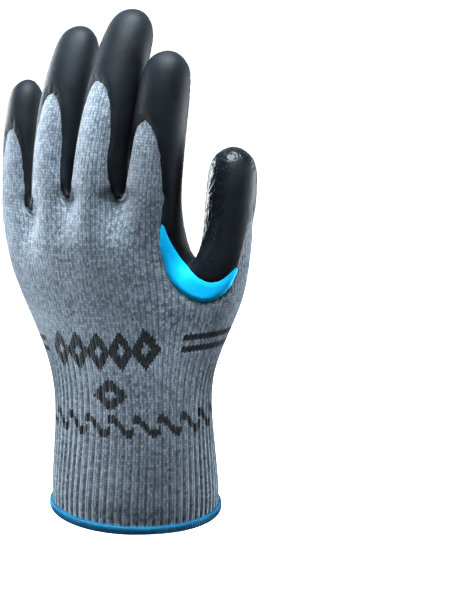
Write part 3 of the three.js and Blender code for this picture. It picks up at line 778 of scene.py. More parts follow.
def math_node(operation: str, reflected: bool = False) -> Callable[..., "Wire"]:
    """A method for wires that adds a Math node.

    Args:
        operation: what the node does.
        reflected: whether the other value comes before the wire.

    Returns:
        The method, from a wire and at most one other value to the node's output.
    """
    def apply(self: "Wire", *other: "Wire | float") -> "Wire":
        """The output of the node."""
        values = (*other, self) if reflected else (self, *other)
        return self.pen.add("ShaderNodeMath", {"operation": operation}, dict(enumerate(values)))

    return apply


class Wire:
    """A node socket in an expression; each operator adds the Math node that it stands for."""

    def __init__(self, pen: "Pen", socket: bpy.types.NodeSocket) -> None:
        """Keeps the pen that draws the tree and the socket."""
        self.pen = pen
        self.socket = socket

    def out(self, name: str) -> "Wire":
        """Another output of the same node."""
        return Wire(self.pen, self.socket.node.outputs[name])

    __add__ = __radd__ = math_node("ADD")
    __sub__ = math_node("SUBTRACT")
    __rsub__ = math_node("SUBTRACT", reflected=True)
    __mul__ = __rmul__ = math_node("MULTIPLY")
    __truediv__ = math_node("DIVIDE")
    __pow__ = math_node("POWER")
    __abs__ = math_node("ABSOLUTE")
    __lt__ = math_node("LESS_THAN")
    __gt__ = math_node("GREATER_THAN")
    floor = math_node("FLOOR")
    part = math_node("FRACT")
    sine = math_node("SINE")
    cosine = math_node("COSINE")
    top = math_node("MAXIMUM")
    low = math_node("MINIMUM")

    def held(self) -> "Wire":
        """This kept from 0 to 1."""
        return self.top(0.0).low(1.0)

    def step(self, start: float, end: float) -> "Wire":
        """A soft step from 0 at start to 1 at end."""
        return self.pen.add("ShaderNodeMapRange", {"interpolation_type": "SMOOTHSTEP"},
                            {"Value": self, "From Min": start, "From Max": end})


class Pen:
    """Draws one node tree."""

    def __init__(self, tree: bpy.types.NodeTree) -> None:
        """Takes the tree to draw in."""
        self.tree = tree

    def add(self, kind: str, settings: dict, values: dict, output: int | str = 0) -> Wire:
        """Adds a node.

        Args:
            kind: the node's type.
            settings: its properties.
            values: numbers, vectors or wires by socket name or place.
            output: name or place of the output to give back.

        Returns:
            The output as a wire.
        """
        node = self.tree.nodes.new(kind)
        for key, value in settings.items():
            setattr(node, key, value)
        for key, value in values.items():
            self.join(value, node.inputs[key])
        return Wire(self, node.outputs[output])

    def join(self, value: "Wire | float | tuple", socket: bpy.types.NodeSocket) -> None:
        """Links a wire to a socket, or sets the socket's own value."""
        if isinstance(value, Wire):
            self.tree.links.new(value.socket, socket)
        else:
            socket.default_value = value

    def blend(self, factor: "Wire | float", first: "Wire | tuple", second: "Wire | tuple") -> Wire:
        """A colour between two colours."""
        return self.add("ShaderNodeMix", {"data_type": "RGBA"}, {0: factor, 6: first, 7: second}, 2)

    def shade(self, colour: Wire, light: Wire) -> Wire:
        """A colour made lighter or darker by a factor."""
        grey = self.vector(light, light, light)
        return self.add("ShaderNodeMix", {"data_type": "RGBA", "blend_type": "MULTIPLY"},
                        {0: 1.0, 6: colour, 7: grey}, 2)

    def noise(self, place: Wire, scale: float, detail: float, rough: float) -> Wire:
        """Noise from 0 to 1 at a place."""
        values = {"Vector": place, "Scale": scale, "Detail": detail, "Roughness": rough}
        return self.add("ShaderNodeTexNoise", {"noise_dimensions": "3D"}, values)

    def vector(self, x: "Wire | float", y: "Wire | float", z: "Wire | float" = 0.0) -> Wire:
        """A vector from three numbers."""
        return self.add("ShaderNodeCombineXYZ", {}, {0: x, 1: y, 2: z})

    def dress(self, shader: bpy.types.Node, colour: Wire, rough: Wire, relief: Wire,
              bump: tuple[float, float]) -> None:
        """Feeds a shader.

        Args:
            shader: the Principled node.
            colour: its base colour.
            rough: its roughness.
            relief: height of its surface.
            bump: strength of the relief, and its depth in metres.
        """
        values = {"Strength": bump[0], "Distance": bump[1], "Height": relief}
        self.join(colour, shader.inputs["Base Color"])
        self.join(rough, shader.inputs["Roughness"])
        self.join(self.add("ShaderNodeBump", {}, values), shader.inputs["Normal"])


def new_material(name: str, constants: dict) -> tuple[bpy.types.Material, Pen, bpy.types.Node]:
    """A material with a Principled shader whose constant inputs are set.

    Args:
        name: the material's name.
        constants: values by input name.

    Returns:
        The material, a pen on its tree, and the shader node.
    """
    material = bpy.data.materials.new(name)
    material.use_nodes = True
    shader = material.node_tree.nodes["Principled BSDF"]
    for key, value in constants.items():
        shader.inputs[key].default_value = value
    return material, Pen(material.node_tree), shader


class Motif(Enum):
    """A figure that is knitted into the wrist in dark yarn."""

    DASHES = "two dashed stripes"
    LOZENGES = "a row of lozenges"
    SINGLE = "one open lozenge"
    WAVE = "a running wave"


@dataclass(frozen=True)
class HeatherKnit:
    """Grey-blue melange yarn knitted plain, with dark motifs at the wrist.

    wales is the number of wales in a knitting column, course the height of a course, and ribbed
    the height up to which painted shade darkens the ribs' grooves. heights are those of the motifs'
    middles.
    Places, reaches and half widths are counted in knitting columns, and the wave's strokes in
    millimetres. A lozenge holds its half height, and its hole and its rim as shares of that.
    """

    light: tuple = linear(178, 191, 203)
    dark: tuple = linear(52, 67, 81)
    motif: tuple = linear(14, 17, 22)
    wales: float = 5.5
    course: float = 1.25 * MM
    ribbed: float = 50 * MM
    ribbed_fade: float = 30 * MM
    heights: tuple = ((Motif.DASHES, 80.2 * MM), (Motif.LOZENGES, 79.4 * MM),
                      (Motif.SINGLE, 60.2 * MM), (Motif.WAVE, 46.6 * MM))
    middle: float = 5.95
    reach: float = 8.4
    row_middle: float = 5.7
    row_half: float = 2.725
    row_clear: float = 3.45
    stripe_away: float = 2.3 * MM
    stripe_half: float = 1.3 * MM
    row_lozenge: tuple = (8.2 * MM, 0.38, 1.14)
    single_lozenge: tuple = (7.4 * MM, 0.36, 1.0)
    single_middle: float = 6.05
    single_half: float = 0.9
    wave_length: float = 1.2
    wave_start: float = 0.1
    wave_peak: float = 0.18
    wave_fall: float = 0.7
    wave_end: float = 1.12
    wave_rise: float = 3.1
    stroke_half: float = 1.75
    leg_slope: float = 0.6
    stitch_valley: float = 0.9
    stitch_middle: float = 0.3
    # Heights over which the extra painted shade in the rib grooves just above the hem fades out.
    hem_shade_band: tuple = (3.5 * MM, 6.5 * MM)

    def in_reach(self, u: Wire) -> Wire:
        """1 where a column is near enough to the middle of the bands."""
        return abs(u - self.middle) < self.reach

    def ring(self, across: Wire, over: Wire, lozenge: tuple) -> Wire:
        """1 between the hole and the rim of a lozenge, from its share across and its height."""
        half, hole, rim = lozenge
        size = across + abs(over) / half
        return (size < rim) * (size > hole)

    def wave(self, u: Wire, over: Wire) -> Wire:
        """1 on the strokes of the wave, each of which reaches into the next one's length."""
        strokes = []
        for shift in (0.0, 1.0):
            p = (u / self.wave_length + self.wave_start).part() + shift
            centre = ((p - self.wave_peak) * (math.pi / self.wave_fall)).cosine() * self.wave_rise
            near = abs(over / MM - centre) < self.stroke_half
            strokes.append(near * (p > 0.0) * (p < self.wave_end))
        return strokes[0].top(strokes[1])

    def figure(self, motif: Motif, over: Wire, u: Wire) -> Wire:
        """Where a motif is knitted.

        Args:
            motif: which figure.
            over: height over the motif's middle, in metres.
            u: knitting column.

        Returns:
            1 on the figure and 0 beside it.
        """
        if motif is Motif.DASHES:
            lines = abs(abs(over) - self.stripe_away) < self.stripe_half
            return lines * (abs(u - self.row_middle) > self.row_clear) * self.in_reach(u)
        if motif is Motif.LOZENGES:
            start, pitch = self.row_middle - self.row_half, self.row_half * 2 / 5
            across = abs(((u - start) / pitch).part() - 0.5) * 2
            in_row = abs(u - self.row_middle) < self.row_half
            return self.ring(across, over, self.row_lozenge) * in_row
        if motif is Motif.SINGLE:
            across = abs(u - self.single_middle) / self.single_half
            return self.ring(across, over, self.single_lozenge)
        return self.wave(u, over) * self.in_reach(u)

    def make(self) -> bpy.types.Material:
        """Builds the material on the piece's own knit map."""
        material, pen, shader = new_material("heather_knit", {
            "Sheen Weight": 0.3, "Sheen Roughness": 0.5, "Specular IOR Level": 0.2})
        place = pen.add("ShaderNodeUVMap", {"uv_map": "knit"}, {})
        split = pen.add("ShaderNodeSeparateXYZ", {}, {0: place})
        u, v = split, split.out("Y")
        wale = u * self.wales
        side = abs(wale.part() - 0.5) * 2
        row = v / self.course
        leg = row - side * self.leg_slope
        thread = abs((leg * math.pi).sine())
        valley = 1 - self.stitch_valley * side ** 4
        middle = 1 - self.stitch_middle * (1 - side) ** 5
        height = (0.6 + 0.4 * thread) * valley * middle
        stitch = pen.vector((wale * 2).floor(), leg.floor())
        single = pen.add("ShaderNodeTexWhiteNoise", {"noise_dimensions": "3D"}, {"Vector": stitch})
        streak = pen.noise(pen.vector(wale * 0.4, leg.floor() * 0.9), 1.0, 3.0, 0.7)
        cloud = pen.noise(pen.vector(u * 0.35, v * 60.0), 1.0, 2.0, 0.5)
        fibre = pen.noise(pen.vector(wale * 3.0, row * 2.5), 2.2, 3.0, 0.65)
        yarn = (streak - 0.5) * 0.6 + (single - 0.5) * 0.45
        tone = yarn + (cloud - 0.5) * 0.5 + (fibre - 0.5) * 1.2 + 0.48
        colour = pen.blend(tone.held(), self.dark, self.light)
        snapped_u = (u * self.wales * 2).floor() / (self.wales * 2) + 0.25 / self.wales
        snapped_z = (leg.floor() + 0.5 + 0.3) * self.course
        figures = None
        for motif, z in self.heights:
            mask = self.figure(motif, snapped_z - z, snapped_u)
            figures = mask if figures is None else figures.top(mask)
        figures = figures.low(1.0) * (0.92 + (single - 0.5) * 0.16)
        colour = pen.blend(figures, colour, self.motif)
        # Painted shade: the colour is darkened in the cuff's rib grooves, and most in the grooves
        # just above the hem.
        rib = (u * (self.wales * math.pi)).cosine() * 0.5 + 0.5
        on_ribs = 1 - v.step(self.ribbed, self.ribbed + self.ribbed_fade)
        hem_shade_weight = 1 - v.step(*self.hem_shade_band)
        painted_groove_shade = (1 - rib.step(0.0, 0.6)) * on_ribs
        # Painted shade: light darkens the colour where the stitch height is low, in the valleys
        # between wales and between a stitch's legs, and in the rib grooves.
        light = (0.26 + 0.74 * height) * (1 - painted_groove_shade * (0.25 + 0.5 * hem_shade_weight))
        pen.dress(shader, pen.shade(colour, light), 0.86 + 0.1 * fibre, height + 0.15 * fibre,
                  (0.9, 0.5 * MM))
        return material


@dataclass(frozen=True)
class DippedLatex:
    """Natural latex in one colour, satin, with a fine skin and faint clouds.

    thin is how far from its edge the coat is thin enough to show the stitches below.
    """

    name: str
    deep: tuple
    pale: tuple
    rough: float
    gloss: float
    shine: float = 0.4
    thin: float = 1.6 * MM

    def make(self) -> bpy.types.Material:
        """Builds the material on object coordinates and the piece's cover attribute."""
        constants = {"Specular IOR Level": self.shine, "IOR": 1.5}
        material, pen, shader = new_material(self.name, constants)
        place = pen.add("ShaderNodeTexCoord", {}, {}, "Object")
        cover = pen.add("ShaderNodeAttribute", {"attribute_name": "cover"}, {}, "Fac")
        crinkle = pen.add("ShaderNodeAttribute", {"attribute_name": "crinkle"}, {}, "Fac")
        cloud = pen.noise(place, 70.0, 3.0, 0.6)
        grain = pen.noise(place, 900.0, 3.0, 0.6)
        pebble = pen.noise(place, 2600.0, 2.0, 0.5)
        edge = 1 - cover.step(0.0, self.thin)
        tone = (cloud - 0.5) * 1.4 + 0.45 + edge * 0.25
        colour = pen.blend(tone.held(), self.deep, self.pale)
        rough = self.rough + (cloud - 0.5) * 0.22 - crinkle * (self.rough - self.gloss)
        rough = rough + (grain - 0.5) * 0.12
        relief = grain * 0.6 + pebble * 0.25 + cloud * 0.8
        pen.dress(shader, colour, rough, relief, (0.35, 0.4 * MM))
        return material


@dataclass(frozen=True)
class OverlockThread:
    """Blue bulked thread."""

    light: tuple = linear(24, 132, 166)
    dark: tuple = linear(4, 80, 116)

    def make(self) -> bpy.types.Material:
        """Builds the material on object coordinates."""
        material, pen, shader = new_material("overlock_thread", {
            "Sheen Weight": 0.15, "Sheen Roughness": 0.45, "Specular IOR Level": 0.25})
        place = pen.add("ShaderNodeTexCoord", {}, {}, "Object")
        strand = pen.noise(place, 900.0, 3.0, 0.6)
        cloud = pen.noise(place, 120.0, 2.0, 0.5)
        tone = (strand - 0.5) * 1.2 + (cloud - 0.5) * 0.8 + 0.45
        colour = pen.blend(tone.held(), self.dark, self.light)
        pen.dress(shader, colour, 0.7 + 0.15 * strand, strand, (0.6, 0.3 * MM))
        return material


class GeometryRule:
    """A Geometry Nodes tree with named inputs, applied to an object and baked to a plain mesh."""

    def __init__(self, name: str, inputs: dict[str, tuple[str, float]]) -> None:
        """Makes the tree.

        Args:
            name: name of the tree.
            inputs: socket type and value of each named input.
        """
        self.tree = bpy.data.node_groups.new(name, "GeometryNodeTree")
        face = self.tree.interface
        face.new_socket(name="Geometry", in_out="INPUT", socket_type="NodeSocketGeometry")
        face.new_socket(name="Geometry", in_out="OUTPUT", socket_type="NodeSocketGeometry")
        self.values = {}
        for label, (kind, value) in inputs.items():
            socket = face.new_socket(name=label, in_out="INPUT", socket_type=kind)
            self.values[label] = (socket.identifier, value)
        self.pen = Pen(self.tree)
        self.start = self.tree.nodes.new("NodeGroupInput")
        self.end = self.tree.nodes.new("NodeGroupOutput")

    def given(self, label: str) -> Wire:
        """A named input as a wire."""
        return Wire(self.pen, self.start.outputs[label])

    def attribute(self, label: str, kind: str = "FLOAT") -> Wire:
        """A stored attribute as a wire."""
        return self.pen.add("GeometryNodeInputNamedAttribute", {"data_type": kind}, {"Name": label})

    def pushed(self, rise: Wire) -> Wire:
        """The given geometry, moved by a length along its stored outward directions."""
        offset = self.pen.add("ShaderNodeVectorMath", {"operation": "SCALE"},
                              {0: self.attribute("out", "FLOAT_VECTOR"), "Scale": rise})
        return self.pen.add("GeometryNodeSetPosition", {},
                            {"Geometry": self.given("Geometry"), "Offset": offset})

    def bake(self, piece: bpy.types.Object, result: Wire, finish: bpy.types.Material) -> None:
        """Ends the tree, runs it on a piece and swaps the piece's mesh for the result.

        Args:
            piece: the object to work on.
            result: the geometry that the tree makes.
            finish: the finish of the result.
        """
        real = self.pen.add("GeometryNodeRealizeInstances", {}, {"Geometry": result})
        done = self.pen.add("GeometryNodeSetMaterial", {}, {"Geometry": real, "Material": finish})
        self.pen.join(done, self.end.inputs[0])
        modifier = piece.modifiers.new(self.tree.name, "NODES")
        modifier.node_group = self.tree
        for identifier, value in self.values.values():
            modifier[identifier] = value
        swap_for_result(piece, modifier)


def report(piece: bpy.types.Object) -> None:
    """Logs a finished piece's name, faces and box."""
    low = [min(c[i] for c in piece.bound_box) for i in range(3)]
    high = [max(c[i] for c in piece.bound_box) for i in range(3)]
    triangles = sum(len(p.vertices) - 2 for p in piece.data.polygons)
    low, high = ([round(v / MM, 1) for v in corner] for corner in (low, high))
    log.info("%s: %d triangles, from %s to %s mm", piece.name, triangles, low, high)


def with_between(corners: list[int], values: list[float], between: dict[tuple[int, int], int],
                 closed: bool = True) -> tuple[list[int], list[float]]:
    """Puts the cuff's new points between the corners of a face or a line.

    Args:
        corners: point numbers in order.
        values: knitting column at each corner.
        between: number of the new point between two points, the lower number first.
        closed: whether the last corner joins the first.

    Returns:
        The corners with the new points, and the column at each.
    """
    shape, at = [], []
    for i, corner in enumerate(corners):
        shape.append(corner)
        at.append(values[i])
        j = (i + 1) % len(corners)
        key = (min(corner, corners[j]), max(corner, corners[j]))
        if key in between and (closed or j > 0):
            shape.append(between[key])
            at.append((values[i] + values[j]) / 2)
    return shape, at


@dataclass
class KnitLiner:
    """The knitted glove under the latex: its outer face, its inner face and its ribbed cuff.

    Faces that lie deeper than hidden below the latex are coarse. Bare knit swells by swell.
    """

    envelope: Envelope
    finish: HeatherKnit
    rib_depth: float = 0.7 * MM
    ribs_per_column: float = 2.75
    cuff_height: float = 56 * MM
    fade: float = 34 * MM
    cuff_faces: int = 96
    hidden: float = 2.4 * MM
    swell: float = 0.6 * MM
    swell_width: float = 3.5 * MM
    hem: tuple = (4 * MM, 12 * MM)
    under_latex: float = 2 * MM

    def split_cuff(self, quads: np.ndarray,
                   columns: np.ndarray) -> tuple[np.ndarray, np.ndarray, np.ndarray]:
        """Splits quads in two across the ribs, so that each rib is round.

        Args:
            quads: corner numbers of each quad.
            columns: knitting column at each corner.

        Returns:
            The halves, the columns at their corners, and the pairs of points between which the
            new points lie, in the order of their numbers.
        """
        upright = np.abs(columns[:, 0] - columns[:, 1]) < 1e-9
        quads = np.where(upright[:, None], np.roll(quads, -1, axis=1), quads)
        columns = np.where(upright[:, None], np.roll(columns, -1, axis=1), columns)
        low, high = np.sort(quads[:, [0, 1]], axis=1), np.sort(quads[:, [2, 3]], axis=1)
        pairs, number = np.unique(np.concatenate([low, high]), axis=0, return_inverse=True)
        number = number.ravel() + len(self.envelope.points)
        m, n = number[:len(quads)], number[len(quads):]
        halves = np.stack([quads[:, 0], m, n, quads[:, 3], m, quads[:, 1], quads[:, 2], n], axis=1)
        c0, c1, c2, c3 = columns.T
        mid = (c0 + c1) / 2
        c = np.stack([c0, mid, mid, c3, mid, c1, c2, mid], axis=1)
        return halves.reshape(-1, 4), c.reshape(-1, 4), pairs

    def bridges(self, between: dict[tuple[int, int], int], first: int) -> tuple[list, list]:
        """The polygons that join the outer face to the inner one round the cuff's edge.

        Args:
            between: number of the new point between two points of the outer face.
            first: number of the inner face's first point.

        Returns:
            The polygons, and the column at each of their corners.
        """
        medium = self.envelope.medium
        rim = self.envelope.rim_order().tolist()
        place = {point: i for i, point in enumerate(rim)}
        _, number, used = medium.edges()
        polygons, columns = [], []
        for f, i in zip(*np.nonzero(used[number] == 1)):
            j = (i + 1) % 4
            a, c = int(medium.faces[f, i]), int(medium.faces[f, j])
            at_a, at_c = medium.columns[f, i], medium.columns[f, j]
            forward = (place[c] - place[a]) % len(rim)
            backward = (place[a] - place[c]) % len(rim)
            steps = range(forward + 1) if forward < backward else range(0, -backward - 1, -1)
            run = [rim[(place[a] + k) % len(rim)] for k in steps]
            values = np.linspace(at_a, at_c, len(run)).tolist()
            shape, at = with_between(run, values, between, closed=False)
            polygons.append(shape[::-1] + [a + first, c + first])
            columns += at[::-1] + [at_a, at_c]
        return polygons, columns

    def faces(self) -> tuple[list, np.ndarray, np.ndarray]:
        """The polygons of both faces of the wall.

        The outer face is finest on the cuff, fine where the knit is bare and coarse below the
        latex. The inner face is coarser still.

        Returns:
            The polygons, the column at each of their corners, and the pairs of the cuff's
            new points. The inner face's numbers start after those.
        """
        e = self.envelope
        groups = e.fine.faces.reshape(-1, 4, 4)
        columns = e.fine.columns.reshape(-1, 4, 4)
        bare = (e.cover[groups] < self.hidden).any(axis=(1, 2))
        cuff = bare & (np.arange(len(groups)) >= len(groups) - self.cuff_faces * 64)
        plain = bare & ~cuff
        cuff_quads, cuff_columns = (part[cuff].reshape(-1, 4) for part in (groups, columns))
        halves, half_columns, pairs = self.split_cuff(cuff_quads, cuff_columns)
        between = {tuple(pair): i + len(e.points) for i, pair in enumerate(pairs.tolist())}
        hanging = set(groups[bare][:, :, 1].ravel().tolist())
        polygons: list = halves.tolist()
        uv = half_columns.ravel().tolist()
        for group, column in zip(groups[plain].reshape(-1, 4).tolist(),
                                 columns[plain].reshape(-1, 4).tolist()):
            shape, at = with_between(group, column, between)
            polygons.append(shape)
            uv += at
        for group, column in zip(groups[~bare].tolist(), columns[~bare].tolist()):
            shape, at = [], []
            for corners, values in zip(group, column):
                taken = 2 if corners[1] in hanging else 1
                shape += corners[:taken]
                at += values[:taken]
            shape, at = with_between(shape, at, between)
            polygons.append(shape)
            uv += at
        first = len(e.points) + len(pairs)
        polygons += (e.medium.faces[:, ::-1] + first).tolist()
        uv += e.medium.columns[:, ::-1].ravel().tolist()
        bridges, bridge_columns = self.bridges(between, first)
        return polygons + bridges, np.array(uv + bridge_columns), pairs

    def build(self) -> bpy.types.Object:
        """Builds the wall, raises its ribs and dresses it."""
        e = self.envelope
        polygons, columns, pairs = self.faces()

        def grown(values: np.ndarray) -> np.ndarray:
            """Values with those of the cuff's new points after them."""
            return np.concatenate([values, (values[pairs[:, 0]] + values[pairs[:, 1]]) / 2])

        points, normals = grown(e.points), unit(grown(e.normals))
        cover, course = grown(e.cover), grown(e.course)
        column = grown(e.column)
        seam = np.abs(e.column[pairs[:, 0]] - e.column[pairs[:, 1]]) > LAST_COLUMN / 2
        column[len(e.points):][seam] = LAST_COLUMN - 1 / 32
        proud = smooth(-cover, 0, self.swell_width) * smooth(points[:, 2], *self.hem)
        outer = points + normals * (WALLS.liner_outer + self.swell * proud)[:, None]
        inner = points + normals * WALLS.liner_inner
        rim = points[:, 2] < ON_RIM
        outer[rim, 2] = inner[rim, 2] = 0
        normals[rim, 2] = 0
        lift = 1 - smooth(cover, -self.under_latex, 0)
        lift *= 1 - smooth(points[:, 2], self.cuff_height, self.cuff_height + self.fade)
        attributes = {
            "cover": np.tile(cover, 2), "column": np.tile(column, 2),
            "out": np.tile(unit(normals), (2, 1)),
            "lift": np.concatenate([lift, np.zeros(len(points))]),
        }
        flat = np.concatenate([np.asarray(p) for p in polygons])
        uv = np.stack([columns, np.tile(course, 2)[flat]], axis=1)
        piece = mesh_piece("knit_shell", np.concatenate([outer, inner]), polygons, attributes, uv)
        rule = GeometryRule("cuff_ribs", {
            "Depth": ("NodeSocketFloat", self.rib_depth),
            "Ribs per column": ("NodeSocketFloat", self.ribs_per_column),
        })
        phase = rule.attribute("column") * rule.given("Ribs per column") * (2 * math.pi)
        wave = phase.cosine() * 0.5 + 0.5
        rise = (wave.step(0.0, 0.75) - 0.7) * rule.attribute("lift") * rule.given("Depth")
        rule.bake(piece, rule.pushed(rise), self.finish.make())
        return piece


@dataclass
class LatexSkin:
    """A dipped skin: the part of the envelope where its field is above zero, with a rolled lip.

    lip is how wide the rolled edge is, and seam how deep the line between black and blue latex.
    kept_share is the share of faces that stays when the hidden inner face is thinned.
    """

    name: str
    envelope: Envelope
    finish: DippedLatex
    crinkle_depth: float
    lip: float = 2.2 * MM
    lip_cuts: tuple = (0.12, 0.4, 0.8)
    seam: float = 0.3 * MM
    inner: float = -1.17 * MM
    overlap: float = 0.03 * MM
    crinkle_fade: float = 4 * MM
    cover_most: float = 30 * MM
    kept_share: float = 0.66

    def field(self) -> np.ndarray:
        """Where the skin lies, one number for each point of the envelope."""
        e = self.envelope
        return np.minimum(e.cover, -e.guard - WALLS.gap / 2)

    def sink(self, cover: np.ndarray, guard: np.ndarray) -> np.ndarray:
        """Offset of the outer face from the envelope."""
        def roll(distance: np.ndarray) -> np.ndarray:
            """How far the lip has turned down at a distance from its edge, from 0 to 1."""
            t = np.clip(1 - distance / self.lip, 0, 1)
            return t * t * (2 - t)

        at_knit = roll(cover) * (-self.inner - self.overlap)
        at_seam = roll(np.abs(guard) - WALLS.gap / 2) * self.seam
        return -np.maximum(at_knit, at_seam)

    def cut_out(self) -> Skin:
        """The part of the envelope that the skin covers, with lines of points along its lip."""
        e = self.envelope
        lies = self.field()
        quads = e.fine.faces[lies[e.fine.faces].max(1) > 0]
        p = e.points
        across, other = (np.linalg.norm(p[quads[:, i]] - p[quads[:, i + 2]], axis=1)
                         for i in (0, 1))
        shorter = (across <= other)[:, None]
        first = np.where(shorter, quads[:, [0, 1, 2]], quads[:, [1, 2, 3]])
        second = np.where(shorter, quads[:, [0, 2, 3]], quads[:, [3, 0, 1]])
        fields = np.stack([e.cover, e.guard, lies, e.crinkle], axis=1)
        skin, values = Skin(p, e.normals, fields, np.concatenate([first, second])).cut(lies)
        skin = skin.kept(values)
        for share in self.lip_cuts:
            skin, _ = skin.cut(skin.fields[:, FIELD] - share * self.lip)
        return skin

    def build(self) -> bpy.types.Object:
        """Cuts the skin out, rolls its lip, closes it below and dresses it."""
        skin = self.cut_out()
        cover, guard = skin.fields[:, COVER], skin.fields[:, GUARD]
        outer = skin.points + skin.normals * self.sink(cover, guard)[:, None]
        below = skin.points + skin.normals * self.inner
        count = len(outer)
        a, b = skin.triangles.ravel(), np.roll(skin.triangles, -1, axis=1).ravel()
        forward = set((a * count + b).tolist())
        rim = [(i, j) for i, j in zip(a.tolist(), b.tolist()) if j * count + i not in forward]
        polygons = skin.triangles.tolist()
        polygons += (skin.triangles[:, ::-1] + count).tolist()
        polygons += [[j, i, i + count, j + count] for i, j in rim]
        creased = skin.fields[:, CRINKLE] * smooth(skin.fields[:, FIELD], 0, self.crinkle_fade)
        attributes = {
            "cover": np.tile(np.minimum(cover, self.cover_most), 2),
            "out": np.tile(skin.normals, (2, 1)),
            "crinkle": np.concatenate([creased, np.zeros(count)]),
        }
        piece = mesh_piece(self.name, np.concatenate([outer, below]), polygons, attributes)
        rule = GeometryRule(self.name + "_crinkle", {
            "Depth": ("NodeSocketFloat", self.crinkle_depth),
            "Scale": ("NodeSocketFloat", 400.0),
            "Seed": ("NodeSocketFloat", 3.0),
        })
        place = rule.pen.add("GeometryNodeInputPosition", {}, {})
        values = {"Vector": place, "W": rule.given("Seed"), "Scale": rule.given("Scale"),
                  "Detail": 2.0, "Roughness": 0.55, "Distortion": 0.9}
        grain = rule.pen.add("ShaderNodeTexNoise", {"noise_dimensions": "4D"}, values)
        crease = 1 - (abs(grain - 0.5) * 7.0).low(1.0)
        rise = (crease ** 1.5 - 0.35) * rule.attribute("crinkle") * rule.given("Depth")
        rule.bake(piece, rule.pushed(rise), self.finish.make())
        self.thin(piece)
        return piece

    def thin(self, piece: bpy.types.Object) -> None:
        """Leaves fewer triangles on the hidden inner face, the second half of the points."""
        count = len(piece.data.vertices)
        hidden = piece.vertex_groups.new(name="inner face")
        hidden.add(list(range(count // 2, count)), 1.0, "REPLACE")
        modifier = piece.modifiers.new("thin the inner face", "DECIMATE")
        modifier.ratio, modifier.vertex_group = self.kept_share, hidden.name
        swap_for_result(piece, modifier)
        piece.vertex_groups.clear()


class Crescent(LatexSkin):
    """The blue latex in the crotch between index finger and thumb."""

    def field(self) -> np.ndarray:
        """Where the crescent lies."""
        return self.envelope.guard + np.minimum(0, self.envelope.cover) - WALLS.gap / 2


